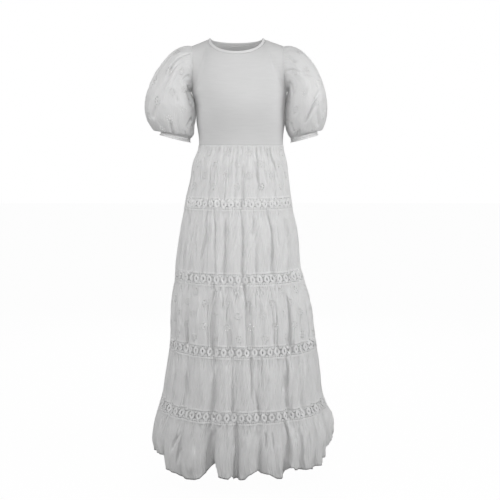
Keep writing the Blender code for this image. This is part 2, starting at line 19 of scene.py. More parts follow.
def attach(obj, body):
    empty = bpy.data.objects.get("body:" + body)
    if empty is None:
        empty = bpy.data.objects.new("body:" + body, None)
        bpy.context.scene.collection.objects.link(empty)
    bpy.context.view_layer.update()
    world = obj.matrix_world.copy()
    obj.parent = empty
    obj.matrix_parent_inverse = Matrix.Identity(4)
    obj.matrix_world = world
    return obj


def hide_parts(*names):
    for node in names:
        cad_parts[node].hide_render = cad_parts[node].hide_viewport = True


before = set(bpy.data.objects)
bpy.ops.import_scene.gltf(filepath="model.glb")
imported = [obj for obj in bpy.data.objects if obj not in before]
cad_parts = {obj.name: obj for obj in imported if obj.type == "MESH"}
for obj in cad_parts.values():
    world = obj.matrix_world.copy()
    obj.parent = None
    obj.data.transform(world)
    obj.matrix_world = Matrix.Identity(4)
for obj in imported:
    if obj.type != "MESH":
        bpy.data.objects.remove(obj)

logging.basicConfig(level=logging.INFO, format="%(message)s")
LOG = logging.getLogger("maxi_dress")
Array = np.ndarray
Surface = Callable[[Array, Array], Array]
Item = bpy.types.Object
Tree = bpy.types.NodeTree
Node = bpy.types.Node
Socket = bpy.types.NodeSocket
Place = tuple[float, float, float]

BODY = "root"
MM = 0.001
TURN = 2 * math.pi
WELD = 1e-6
FRAME_STEP = 1e-3
LINE_POINTS = 2401


class Side(Enum):
    """A side of the dress, with its sign along an axis."""

    @property
    def word(self) -> str:
        """The side's name in a piece's name."""
        return self.name.lower()


class Half(Side):
    """The half of the dress that a panel belongs to, with its sign along Y."""

    FRONT = -1
    BACK = 1


class Hand(Side):
    """The wearer's hand that a sleeve is on, with its sign along X."""

    RIGHT = -1
    LEFT = 1


# ---- Sizes of the skirt

# Drop below the origin, then the reach to the wearer's right and left, to the front and the back,
# in tenths of a millimetre before the division
SECTIONS = np.array(
    [
        (1620, 1455, 1600, 1140, 1050), (1900, 1345, 1573, 1180, 1020),
        (2250, 1307, 1550, 1160, 980), (2600, 1290, 1543, 1080, 920), (3000, 1228, 1490, 1000, 880),
        (3320, 1218, 1486, 980, 880), (3850, 1412, 1613, 1180, 1120),
        (4430, 1512, 1680, 1300, 1320), (4910, 1630, 1740, 1380, 1460),
        (5330, 1705, 1800, 1450, 1540), (5980, 1814, 1946, 1560, 1660),
        (6570, 1917, 2014, 1660, 1760), (7220, 1990, 2060, 1760, 1870),
        (7640, 2024, 2190, 1830, 1940), (8340, 2127, 2384, 1950, 2060),
        (8940, 2165, 2485, 2060, 2170), (9430, 2170, 2545, 2140, 2250),
        (9850, 2210, 2610, 2210, 2320), (10740, 2345, 2729, 2340, 2460),
        (11410, 2455, 2810, 2430, 2560), (11830, 2580, 2960, 2490, 2620),
        (12570, 2760, 3174, 2610, 2740), (13000, 2800, 3180, 2660, 2800),
        (13420, 2740, 3150, 2680, 2820),
    ]
) / 10_000
SECTION_ROUNDNESS = 0.88
CLOTH_FULLNESS = 1.62
UNDERARM_DROP = 0.162
WAIST_DROP = 0.332
HEM_DROP = 1.342
LACE_HEIGHT = 0.042

# The upper and lower seam of each gathered layer, and how deep its folds are at the upper one
LAYER_DROPS = ((0.332, 0.491), (0.533, 0.722), (0.764, 0.943), (0.985, 1.141), (1.183, 1.342))
TOP_SHARES = (0.35, 0.14, 0.14, 0.14, 0.14)
# Main folds of each layer's front: the trough's place between the side seams, and its depth
TIER_FOLDS = (
    np.array(
        [
            ((i + 0.5 + 0.18 * math.sin(2.4 * i)) / 14, 0.0052 + 0.0016 * math.sin(1.9 * i + 0.4))
            for i in range(14)
        ]
    ),
    np.array(
        [
            (80, 9), (167, 14), (239, 10), (319, 9), (433, 10), (521, 11), (590, 8), (677, 12),
            (813, 15), (899, 10),
        ]
    ) / 1000,
    np.array(
        [
            (110, 11), (228, 15), (371, 15), (445, 10), (535, 12), (640, 10), (716, 16), (800, 10),
            (880, 13),
        ]
    ) / 1000,
    np.array(
        [
            (85, 11), (165, 13), (255, 14), (385, 15), (468, 13), (560, 12), (682, 18), (755, 12),
            (825, 13), (915, 11),
        ]
    ) / 1000,
    np.array(
        [
            (80, 14), (160, 26), (262, 20), (386, 46), (479, 34), (556, 26), (653, 30), (710, 16),
            (790, 18), (885, 40),
        ]
    ) / 1000,
)
BACK_FOLD_SHARE = 0.9
CARRY_SHARE = 0.40
CARRY_FADE = 0.07
FOLD_HALF_WIDTH_SHARE = 0.44
FOLD_CORE_SHARE = 0.45
FOLD_CORE_WIDTH = 0.0065
FOLD_CORE_GROWTH = 0.12
WAIST_FOLD_SHARE = 0.1
WAIST_FOLD_FADE = 0.03

# How far the hem lies above its middle level, as flat-bottomed folds with steps between them
HEM_LINES = {
    Half.FRONT: np.array(
        [
            (0, 12), (50, 20), (100, 28), (145, 28), (160, -2), (200, -8), (240, -13), (262, -24),
            (300, -20), (330, -17), (350, -11), (364, 2), (378, 20), (392, 26), (406, 22),
            (418, -2), (450, -6), (463, 2), (472, -14), (490, -13), (506, -6), (520, 8), (540, 14),
            (552, 15), (564, 8), (588, 8), (602, 0), (616, -8), (640, -10), (650, -13), (658, 6),
            (668, 19), (678, 20), (692, 9), (725, 6), (750, 5), (785, -4), (800, 3), (825, 2),
            (838, 22), (870, 28), (890, 34), (910, 48), (935, 70), (1000, 70),
        ]
    ) / 1000,
    Half.BACK: np.array(
        [
            (0, 12), (60, 16), (115, 22), (150, -4), (210, -8), (262, -4), (290, 12), (310, -6),
            (347, -4), (372, 14), (392, 16), (410, -8), (460, -6), (500, 10), (528, 14), (545, -2),
            (580, -4), (600, 14), (625, 16), (645, -10), (700, -10), (740, 4), (790, 6), (840, 14),
            (870, 4), (920, 30), (950, 60), (1000, 70),
        ]
    ) / 1000,
}

# Creases of each layer's front: place and share of the height at both ends, the
# sideways bow, the depth (a ridge is negative) and the half width in millimetres, all of them
# divided by the units
CREASE_UNITS = (1000, 100, 1000, 100, 1000, 10, 10)
CREASES = (
    (
        (186, 20, 197, 80, 4, 22, 30), (208, 8, 240, 75, 3, 26, 30), (289, 12, 318, 90, -4, 28, 30),
        (341, 25, 364, 98, 2, 20, 25), (374, 2, 390, 42, 2, 26, 25), (408, 30, 420, 100, 3, 30, 25),
        (427, 25, 438, 95, -2, 22, 25), (499, 0, 502, 45, 2, 30, 25),
        (530, 50, 531, 100, 2, 42, 30), (582, 8, 628, 90, 6, 32, 30),
        (668, 14, 682, 80, -5, 40, 32), (716, 5, 782, 76, 6, 32, 32), (786, 18, 910, 70, 8, 24, 30),
        (455, 10, 462, 90, 3, -16, 40), (555, 10, 570, 95, 3, -18, 50),
        (110, 15, 80, 85, 4, 22, 30), (150, 5, 135, 70, 3, 20, 30), (860, 5, 930, 80, 6, 22, 32),
    ),
    (
        (154, 5, 211, 70, 6, 60, 50), (234, 20, 270, 90, 4, 40, 35), (258, 6, 266, 70, -6, -24, 35),
        (316, 6, 336, 100, 3, 40, 40), (360, 0, 394, 100, 4, 50, 40), (429, 4, 437, 100, 3, 32, 35),
        (452, 2, 455, 90, 3, -24, 45), (511, 0, 524, 58, 3, 28, 30), (524, 45, 528, 100, 1, 50, 35),
        (586, 2, 560, 48, 6, 44, 35), (668, 0, 685, 45, 4, 36, 35), (684, 38, 676, 95, 3, 30, 40),
        (625, 10, 640, 95, 4, -24, 90), (812, 10, 762, 92, 8, 70, 75),
        (900, 14, 852, 95, 6, 55, 50), (90, 5, 110, 95, 4, 40, 45), (350, 8, 361, 80, 3, -24, 40),
        (725, 6, 722, 70, 3, 20, 30),
    ),
    (
        (234, 8, 216, 100, 4, 45, 40), (379, 0, 369, 100, 2, 55, 40),
        (350, 18, 348, 100, 2, 30, 30), (418, 2, 424, 55, 2, 26, 30),
        (452, 55, 449, 100, 1, 50, 32), (438, 28, 432, 100, 2, 24, 26),
        (524, 0, 519, 100, 3, 50, 60), (543, 5, 546, 100, -3, 36, 32), (572, 2, 564, 50, 2, 38, 30),
        (600, 5, 600, 95, 2, -24, 80), (666, 18, 646, 100, 2, 30, 32),
        (737, 4, 713, 100, 3, 65, 50), (760, 5, 738, 100, 3, -30, 40),
        (895, 30, 838, 100, 4, 44, 40), (300, 10, 296, 90, 2, -20, 80),
        (130, 6, 150, 95, 4, 36, 40), (172, 10, 186, 80, 2, 24, 30), (470, 10, 476, 90, 2, -26, 50),
    ),
    (
        (117, 0, 181, 86, 6, 30, 26), (228, 2, 276, 100, 4, 60, 55), (378, 0, 392, 100, 2, 65, 45),
        (455, 0, 465, 100, 2, 40, 32), (469, 5, 483, 100, 2, 34, 26), (533, 0, 534, 95, 2, 50, 55),
        (547, 52, 566, 100, 4, 44, 32), (576, 0, 573, 72, 3, 26, 26),
        (610, 10, 612, 100, 3, -30, 90), (700, 0, 662, 80, 6, 75, 65),
        (722, 0, 700, 100, 3, -30, 36), (745, 10, 723, 90, 3, 30, 32), (830, 2, 794, 98, 4, 55, 48),
        (900, 5, 900, 95, 4, 36, 40), (320, 5, 334, 95, 3, -24, 90), (430, 5, 440, 100, 2, -24, 45),
        (70, 10, 85, 90, 2, 32, 40), (500, 5, 506, 95, 2, -22, 50),
    ),
    (
        (266, 5, 246, 85, 6, 60, 45), (228, 62, 258, 22, -6, 50, 50), (311, 2, 316, 34, 2, 30, 26),
        (348, 4, 350, 34, 2, 30, 26), (393, 2, 386, 100, 3, 80, 60), (444, 0, 446, 55, 1, 40, 26),
        (479, 0, 474, 100, 2, 80, 50), (577, 12, 574, 56, 3, 70, 50), (602, 10, 596, 50, 3, 60, 40),
        (659, 0, 659, 90, 3, 60, 36), (695, 2, 691, 100, 3, 60, 32), (718, 2, 722, 90, 3, -36, 50),
        (826, 50, 836, 100, 3, 50, 36), (70, 50, 110, 92, 10, 70, 70),
        (514, 20, 502, 92, 4, -40, 60), (753, 15, 750, 86, 3, 36, 40),
        (330, 40, 318, 95, 4, -50, 140), (120, 5, 150, 60, 4, 50, 45),
        (625, 30, 622, 95, 3, -50, 90), (950, 10, 930, 85, 4, 50, 50),
    ),
)
# How much each layer's creases are deepened, and that from the right seam to the left one
CREASE_SCALE = (2.6, 3.5, 3.7, 4.1, 4.0)
CREASE_SIDES = (0.8, 0.5)
RIDGE_SHARE = 0.6
CREASE_LIMITS = (-0.5, 1.5)
CREASE_FADES = (0.30, 0.35)
SEAM_FADES = (0.010, 0.045)
BACK_CREASE_SHIFT = 0.021
AT_SEAM = 0.01

# The pleats below a seam: the shortest and longest, the deepest in millimetres, and the spacing
WAIST_GATHERS = (0.09, 0.30, 5.6, 1.35)
TIER_GATHERS = (0.022, 0.115, 4.4, 1.0)
GATHER_GAPS = (0.0068, 0.0135)
GATHER_WIDTHS = (0.0019, 0.0030)
GATHER_LEAN = 0.0045
GATHER_LAP = 0.006
GATHER_RISE = 0.011
GATHER_MOST = 400
GATHER_SLACK = 1.05
GATHER_TOP_SHARE = 0.22
GATHER_SPREAD = 0.9

# The cloth beside a side seam, and at the waist seam under the bodice's edge
SEAM_TURN = 0.006
SEAM_CALM = 0.02
WAIST_CALM = 0.006
WAIST_TUCK = (1.9 * MM, 0.002)
WAIST_ROLL = (1.0 * MM, 0.003, 0.007)
SKIRT_SEEDS = {Half.FRONT: 7, Half.BACK: 8}

# An embroidered eyelet's hole, rim and foot, and how far the rim stands up
EYELET_SIDES = 8
EYELET_RADII = (0.00170, 0.00220, 0.00280)
EYELET_LIFTS = (0.00010, 0.00045, 0.0)
EYELET_CLEAR = 0.0035
EYELET_BATCH = 64
FLOWER_RADIUS = 0.0098
FLOWER_SPACING = 0.042
FLOWER_MARGIN = 13 * MM
FLOWER_MIDDLE = 0.49
# The flowers' drops in even and odd columns, for each tier that has them
FLOWER_ROWS = {1: ((0.388, 0.458), (0.353, 0.424)), 3: ((0.783, 0.853, 0.923), (0.818, 0.888))}

# A running stitch's corners and middle, and how far they stand up
STITCH_SHAPE = np.array([(-1.25, 0.0), (0.0, 0.28), (1.25, 0.0), (0.0, -0.28), (0.0, 0.0)]) * MM
STITCH_LIFTS = [0.05 * MM] * 4 + [0.45 * MM]
STITCH_FACES = np.array([(0, 1, 4), (1, 2, 4), (2, 3, 4), (3, 0, 4)])

# Uneven waves: their number, and their sideways bends' sizes and lengths
WAVES = 9
BEND_SIZES = (0.5, 1.6)
BEND_SHARE = 0.12
BEND_LENGTHS = (0.06, 0.16)
BEND_STRETCH = 8
CRINKLE_LINE = 0.42
CRINKLE_MIDDLE = 0.7


# ---- Shapes in general


def unit(vectors: Array) -> Array:
    """The vectors at length 1."""
    return vectors / np.linalg.norm(vectors, axis=-1, keepdims=True)


def smooth_step(value: Array) -> Array:
    """3t^2 - 2t^3 for t held between 0 and 1."""
    t = np.clip(value, 0.0, 1.0)
    return t * t * (3 - 2 * t)


def grown(share: float, value: Array) -> Array:
    """A smooth rise from a share at 0 to 1 at 1."""
    return share + (1 - share) * smooth_step(value)


def bell(away: Array) -> Array:
    """exp(-d^2), the section of a crease, with d in half widths."""
    return np.exp(-(away**2))


def circle(count: int, start: float = 0.0) -> Array:
    """Points of the unit circle, the first one this many steps round."""
    turn = (np.arange(count) + start) * TURN / count
    return np.stack([np.cos(turn), np.sin(turn)], axis=-1)


def running_length(line: Array) -> Array:
    """The length along a polyline up to each of its points."""
    return np.concatenate([[0.0], np.cumsum(np.linalg.norm(np.diff(line, axis=0), axis=-1))])


def through_rows(places: Array, values: Array, at: Array) -> Array:
    """A smooth curve through the rows of a table, as cubic Hermite pieces.

    Between two rows it is h00 p0 + h10 s m0 + h01 p1 + h11 s m1, with t the share of the step s.

    Args:
        places: where the rows are.
        values: the rows' numbers.
        at: where the curve is wanted.

    Returns:
        The curve's values.
    """
    places, values = np.asarray(places, float), np.asarray(values, float)
    at = np.clip(np.asarray(at, float), places[0], places[-1])
    slopes = np.gradient(values, places)
    i = np.clip(np.searchsorted(places, at, side="right") - 1, 0, len(places) - 2)
    step = places[i + 1] - places[i]
    t = (at - places[i]) / step
    return (
        values[i] * (1 + 2 * t) * (1 - t) ** 2
        + slopes[i] * step * t * (1 - t) ** 2
        + values[i + 1] * t * t * (3 - 2 * t)
        + slopes[i + 1] * step * t * t * (t - 1)
    )


def wander(u: Array, v: Array, seed: int, wave: tuple[float, float], stretch: float) -> Array:
    """Uneven waves that run mostly down the cloth.

    The sum over k of a_k cos(2 pi (u / w_k + b_k v / (w_k stretch)) + phase_k), over its number
    of waves' square root, with wavelengths w_k between the two given ones.

    Args:
        u: metres across the cloth.
        v: metres down the cloth.
        seed: the number that fixes the waves.
        wave: the shortest and longest wavelength across, in metres.
        stretch: how many times longer the waves are down the cloth.

    Returns:
        Values of about -1.5 to 1.5.
    """
    draw = np.random.default_rng(seed)
    lengths = np.exp(draw.uniform(math.log(wave[0]), math.log(wave[1]), WAVES))
    slants = draw.normal(0.0, 1.0, WAVES) / stretch
    drift = draw.uniform(0.0, TURN, WAVES)
    bends = draw.uniform(*BEND_SIZES, WAVES) * wave[1] * BEND_SHARE
    bend_waves = draw.uniform(*BEND_LENGTHS, WAVES) * stretch / BEND_STRETCH
    total = np.zeros(np.broadcast(u, v).shape)
    for k in range(WAVES):
        across = u + bends[k] * np.sin(TURN * v / bend_waves[k] + drift[k] * 3)
        turns = v / (bend_waves[k] * 1.7) + u / (lengths[k] * 5.3)
        swell = 0.75 + 0.5 * np.sin(TURN * turns + drift[k])
        turns = across / lengths[k] + slants[k] * v / lengths[k]
        total += swell * np.cos(TURN * turns + drift[k])
    return total / math.sqrt(WAVES)


@dataclass(frozen=True)
class Crinkles:
    """Fine pressed-in lines with broader waves: 1 - exp(-(n / 0.42)^2) - 0.7 + share m.

    n and m are the two kinds of waves, each with its wavelengths across and its stretch down.
    """

    line_waves: tuple[float, float]
    line_stretch: float
    broad_waves: tuple[float, float]
    broad_stretch: float
    broad_share: float
    broad_seed: int

    def relief(self, u: Array, v: Array, seed: int) -> Array:
        """The crinkles' heights.

        Args:
            u: metres across the cloth.
            v: metres down the cloth.
            seed: the number that fixes the waves.

        Returns:
            Heights for crinkles of depth 1.
        """
        lines = wander(u, v, seed, self.line_waves, self.line_stretch)
        broad = wander(u, v, seed + self.broad_seed, self.broad_waves, self.broad_stretch)
        return 1 - bell(lines / CRINKLE_LINE) - CRINKLE_MIDDLE + self.broad_share * broad


SKIRT_CRINKLES = Crinkles((0.0085, 0.022), 30.0, (0.028, 0.060), 14.0, 0.55, 20)
SLEEVE_CRINKLES = Crinkles((0.010, 0.026), 5.0, (0.03, 0.07), 2.0, 0.8, 5)


# ---- Meshes


@dataclass
class Net:
    """A surface's points with their cloth coordinates and faces, ready to be made a mesh."""

    points: Array
    cloth: Array
    faces: list[Array]

    @staticmethod
    def grid(points: Array, cloth: Array, flip: bool = False, wrap: bool = False) -> "Net":
        """The quads of a grid of points.

        Args:
            points: rows by columns by 3.
            cloth: rows by columns by 2, the cloth coordinates in metres.
            flip: True turns the faces round.
            wrap: True joins the last column to the first.

        Returns:
            The net.
        """
        rows, columns = points.shape[:2]
        number = np.arange(rows * columns).reshape(rows, columns)
        right = np.roll(number, -1, axis=1)
        if not wrap:
            number, right = number[:, :-1], right[:, :-1]
        quads = np.stack([number[:-1], right[:-1], right[1:], number[1:]], axis=-1).reshape(-1, 4)
        quads = quads[:, ::-1] if flip else quads
        return Net(points.reshape(-1, 3), cloth.reshape(-1, 2), [quads])

    @staticmethod
    def joined(nets: list["Net"]) -> "Net":
        """Several nets as one.

        Args:
            nets: the nets.

        Returns:
            One net of all their points and faces.
        """
        starts = np.cumsum([0] + [len(net.points) for net in nets[:-1]])
        faces = [part + start for net, start in zip(nets, starts) for part in net.faces]
        points = np.concatenate([net.points for net in nets])
        return Net(points, np.concatenate([net.cloth for net in nets]), faces)

    def triangles(self) -> int:
        """How many triangles the faces come to."""
        return sum(len(part) * (part.shape[1] - 2) for part in self.faces)

    def area(self) -> float:
        """The area of the faces, as the sum of their triangles' areas.

        Returns:
            The area in square metres.
        """
        total = 0.0
        for part in self.faces:
            for k in range(1, part.shape[1] - 1):
                a, b, c = (self.points[part[:, i]] for i in (0, k, k + 1))
                total += float(np.linalg.norm(np.cross(b - a, c - a), axis=-1).sum()) / 2
        return total


def add_item(name: str, data: bpy.types.ID) -> Item:
    """A new object in the scene.

    Args:
        name: its name.
        data: its mesh, camera or light.

    Returns:
        The object.
    """
    item = bpy.data.objects.new(name, data)
    bpy.context.scene.collection.objects.link(item)
    return item


def make_piece(name: str, net: Net, finish: "Finish", node: str) -> Item:
    """Makes a net an object of the dress that stands for a CAD node. Equal points become one.

    Args:
        name: the piece's name.
        net: its surface.
        finish: its material and material slot.
        node: the CAD node that it replaces.

    Returns:
        The object.
    """
    corners = np.concatenate([part.ravel() for part in net.faces])
    sizes = np.concatenate([np.full(len(part), part.shape[1], np.int32) for part in net.faces])
    places = np.round(net.points[corners] / WELD).astype(np.int64)
    _, first, welded = np.unique(places, axis=0, return_index=True, return_inverse=True)
    mesh = bpy.data.meshes.new(name)
    mesh.vertices.add(len(first))
    mesh.vertices.foreach_set("co", net.points[corners[first]].astype(np.float32).ravel())
    mesh.loops.add(len(corners))
    mesh.loops.foreach_set("vertex_index", welded.ravel().astype(np.int32))
    mesh.polygons.add(len(sizes))
    mesh.polygons.foreach_set("loop_start", (np.cumsum(sizes) - sizes).astype(np.int32))
    mesh.polygons.foreach_set("use_smooth", np.ones(len(sizes), bool))
    mesh.update(calc_edges=True)
    mesh.validate()
    layer = mesh.uv_layers.new(name="cloth")
    layer.data.foreach_set("uv", net.cloth[corners].astype(np.float32).ravel())
    mesh.materials.append(finish.material)
    piece = add_item(name, mesh)
    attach(piece, BODY)
    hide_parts(node)
    LOG.info("%s: %d triangles", name, net.triangles())
    return piece


def pierced(cloth: Array, holes: Array, surface: Surface, flip: bool) -> Net:
    """A net with round holes worked in the cloth, each inside a raised stitched rim.

    The grid's points near a hole give way to three rings of eight points, the cloth coordinates
    are triangulated, and the triangles inside the inner rings are left out.

    Args:
        cloth: the grid's cloth coordinates, of shape (rows, columns, 2).
        holes: the holes' middles in cloth coordinates.
        surface: gives the points for cloth coordinates and a lift.
        flip: whether the faces turn round.

    Returns:
        The net.
    """
    spots = cloth.reshape(-1, 2)
    border = np.ones(cloth.shape[:2], bool)
    border[1:-1, 1:-1] = False
    away = np.full(len(spots), 1.0)
    for start in range(0, len(holes), EYELET_BATCH):
        gaps = spots[:, None] - holes[None, start : start + EYELET_BATCH]
        away = np.minimum(away, np.hypot(gaps[..., 0], gaps[..., 1]).min(1))
    kept = spots[border.ravel() | (away > EYELET_CLEAR)]
    radii = np.array(EYELET_RADII)[:, None, None, None]
    rings = holes[None, :, None] + radii * circle(EYELET_SIDES, 0.5)
    inner = len(holes) * EYELET_SIDES
    lifts = np.concatenate([np.zeros(len(kept)), np.repeat(EYELET_LIFTS, inner)])
    flat = np.concatenate([kept, rings.reshape(-1, 2)])
    found = delaunay_2d_cdt([Vector(spot) for spot in flat.tolist()], [], [], 0, 1e-9)
    faces = np.array([ids[0] for ids in found[3]])[np.array(found[2])]
    owner = np.full(len(flat), -1)
    owner[len(kept) : len(kept) + inner] = np.repeat(np.arange(len(holes)), EYELET_SIDES)
    mine = owner[faces]
    faces = faces[(mine[:, 0] < 0) | (mine != mine[:, :1]).any(axis=1)]
    return Net(surface(flat, lifts), flat, [faces[:, ::-1] if flip else faces])


def flower_holes(middles: Array) -> Array:
    """The holes of small flowers: eight round each middle and one in it."""
    petals = np.concatenate([FLOWER_RADIUS * circle(EYELET_SIDES, 0.5), [[0.0, 0.0]]])
    return (middles[:, None] + petals[None]).reshape(-1, 2)


def stitches(across: Array, level: float, surface: Surface, flip: bool) -> Net:
    """A row of running stitches, each a small raised lozenge of four faces.

    Args:
        across: the stitches' middles across the cloth.
        level: how far down the cloth the row runs.
        surface: gives the points for cloth coordinates and a lift.
        flip: whether the faces turn round.

    Returns:
        The net.
    """
    middles = np.stack([across, np.full_like(across, level)], axis=-1)
    flat = (middles[:, None] + STITCH_SHAPE[None]).reshape(-1, 2)
    faces = STITCH_FACES[None] + len(STITCH_SHAPE) * np.arange(len(across))[:, None, None]
    faces = faces.reshape(-1, 3)
    lifts = np.tile(STITCH_LIFTS, len(across))
    return Net(surface(flat, lifts), flat, [faces if flip else faces[:, ::-1]])


# ---- Folds and creases


@dataclass(frozen=True)
class Layer:
    """One gathered layer of the skirt, with its own seams' drops and the ones before and after."""

    number: int
    top: float
    bottom: float
    before: float
    after: float

    @property
    def height(self) -> float:
        """From the upper seam to the lower one."""
        return self.bottom - self.top

    @property
    def is_first(self) -> bool:
        """Whether it hangs from the waist."""
        return self.number == 1

    @property
    def is_ruffle(self) -> bool:
        """Whether it is the lowest one, which ends in the hem."""
        return self.number == len(LAYER_DROPS)

    @property
    def name(self) -> str:
        """Its name in a piece's name."""
        return "ruffle" if self.is_ruffle else f"tier_{self.number}"


def skirt_layers() -> list[Layer]:
    """The five gathered layers, from the waist to the hem.

    Returns:
        The layers, each with the seams before and after its own.
    """
    tops = [drops[0] for drops in LAYER_DROPS] + [2 * HEM_DROP]
    bottoms = [WAIST_DROP - 0.02] + [drops[1] for drops in LAYER_DROPS]
    return [
        Layer(i + 1, top, bottom, bottoms[i], tops[i + 1])
        for i, (top, bottom) in enumerate(LAYER_DROPS)
    ]


LAYERS = skirt_layers()


@dataclass
class SkirtForm:
    """The form of one half of the skirt, as a surface over place and drop.

    Place is 0 at the wearer's right seam and 1 at the left one. Drop is metres below the origin.
    """

    half: Half
    inset: float = 0.3 * MM

    def reach(self, column: int, drop: Array) -> Array:
        """How far the skirt reaches one way at a drop, from a column of the sections."""
        return through_rows(SECTIONS[:, 0], SECTIONS[:, column], drop)

    def cloth_width(self, drop: Array) -> Array:
        """About how many metres of cloth there are between the seams at a drop."""
        return CLOTH_FULLNESS * (self.reach(1, drop) + self.reach(2, drop))

    def plan(self, place: Array, drop: Array) -> Array:
        """The plan without folds: x = (l - r)/2 - (l + r)/2 cos(pi p), y = d |sin(pi p)|^0.88.

        Args:
            place: places between the seams.
            drop: drops, of the same shape.

        Returns:
            Points (x, y).
        """
        right, left = self.reach(1, drop), self.reach(2, drop)
        depth = self.reach(3 if self.half is Half.FRONT else 4, drop)
        angle = np.pi * place
        x = (left - right) / 2 - (left + right) / 2 * np.cos(angle)
        y = self.half.value * depth * np.abs(np.sin(angle)) ** SECTION_ROUNDNESS
        return np.stack([x, y], axis=-1)

    def plan_frame(self, place: Array, drop: Array) -> tuple[Array, Array]:
        """The plan's frame, from the difference between two near places.

        Args:
            place: places between the seams.
            drop: drops, of the same shape.

        Returns:
            The outward direction, which is sideways at the seams, and the metres for each unit
            of place.
        """
        ahead, behind = np.minimum(place + FRAME_STEP, 1), np.maximum(place - FRAME_STEP, 0)
        along = self.plan(ahead, drop) - self.plan(behind, drop)
        normal = np.stack([along[..., 1], -along[..., 0]], axis=-1) * -self.half.value
        length = np.linalg.norm(normal, axis=-1)
        edge = smooth_step(np.minimum(place, 1 - place) / SEAM_TURN)[..., None]
        sideways = np.stack([np.sign(place - 0.5), np.zeros_like(place)], axis=-1)
        normal = unit(normal / length[..., None] * edge + sideways * (1 - edge))
        return normal, length / (ahead - behind)

    def fold_depth(self, layer: Layer, place: Array) -> Array:
        """How deep the cloth lies: at each fold, d (0.55 cos^2(pi t / 2) + 0.45 exp(-(m / w)^2)).

        t is the share of the fold's width and m the metres from its middle, so that the folds are
        round on top and narrow in their middles.

        Args:
            layer: the gathered layer.
            place: places between the seams.

        Returns:
            Depths in metres.
        """
        places, depths = TIER_FOLDS[layer.number - 1].T
        if self.half is Half.BACK:
            places, depths = (1 - places)[::-1], depths[::-1] * BACK_FOLD_SHARE
        gaps = np.diff(np.concatenate([[-places[0]], places, [2 - places[-1]]]))
        metres = float(self.cloth_width(np.array(layer.bottom)))
        depth = np.zeros_like(place)
        for middle, deepest, gap in zip(places, depths, np.minimum(gaps[:-1], gaps[1:])):
            away = np.abs(place - middle)
            broad = np.cos(np.pi / 2 * np.clip(away / (FOLD_HALF_WIDTH_SHARE * gap), 0, 1)) ** 2
            core = bell(away * metres / (FOLD_CORE_WIDTH + FOLD_CORE_GROWTH * deepest))
            depth += deepest * ((1 - FOLD_CORE_SHARE) * broad + FOLD_CORE_SHARE * core)
        return depth

    def depth(self, place: Array, drop: Array) -> Array:
        """The main folds' depth. A layer's folds grow to its lower edge and fade out below it.

        Args:
            place: places between the seams.
            drop: drops, of the same shape.

        Returns:
            Depths in metres.
        """
        total = np.zeros_like(place)
        for layer in LAYERS:
            faded = layer.after + CARRY_FADE
            if drop.min() > faded or drop.max() < layer.before:
                continue
            share = np.interp(
                drop,
                (layer.before, layer.top, layer.bottom, layer.after, faded),
                (0.0, TOP_SHARES[layer.number - 1], 1.0, CARRY_SHARE, 0.0),
            )
            total += share * self.fold_depth(layer, place)
        return total * grown(WAIST_FOLD_SHARE, (drop - WAIST_DROP) / WAIST_FOLD_FADE)

    def creases(self, place: Array, drop: Array, scale: Array) -> Array:
        """The listed creases.

        A crease adds -depth exp(-(d / width)^2) w(f), where d is the distance across from its
        line, and w rises and falls smoothly between the line's ends. One that ends at a seam
        runs on past it.

        Args:
            place: places between the seams.
            drop: drops, of the same shape.
            scale: metres for each unit of place.

        Returns:
            The lift of the cloth in metres.
        """
        lift = np.zeros_like(place)
        for layer, rows, layer_scale in zip(LAYERS, CREASES, CREASE_SCALE):
            deeper = layer_scale * (CREASE_SIDES[0] + CREASE_SIDES[1] * place)
            for start, high, end, low, bow, depth, width in np.array(rows) / CREASE_UNITS:
                if self.half is Half.BACK:
                    start, end = 1 - start - BACK_CREASE_SHIFT, 1 - end - BACK_CREASE_SHIFT
                    bow = -bow
                if high > low:
                    start, high, end, low = end, low, start, high
                first, last = layer.top + high * layer.height, layer.top + low * layer.height
                fade_in, fade_out = (share * (last - first) for share in CREASE_FADES)
                if high < AT_SEAM:
                    fade_in = SEAM_FADES[0]
                    first -= fade_in
                if low > 1 - AT_SEAM:
                    fade_out = SEAM_FADES[1]
                    last += fade_out
                if drop.min() > last or drop.max() < first:
                    continue
                run = np.clip((drop - first) / (last - first), 0, 1)
                line = start + (end - start) * run + bow * np.sin(np.pi * run)
                window = smooth_step((drop - first) / fade_in)
                window = window * smooth_step((last - drop) / fade_out)
                deep = deeper * depth * (1 if depth > 0 else RIDGE_SHARE)
                deep = np.clip(deep, CREASE_LIMITS[0] * width, CREASE_LIMITS[1] * width) * MM
                lift -= deep * bell((place - line) * scale / (width * MM)) * window
        return lift

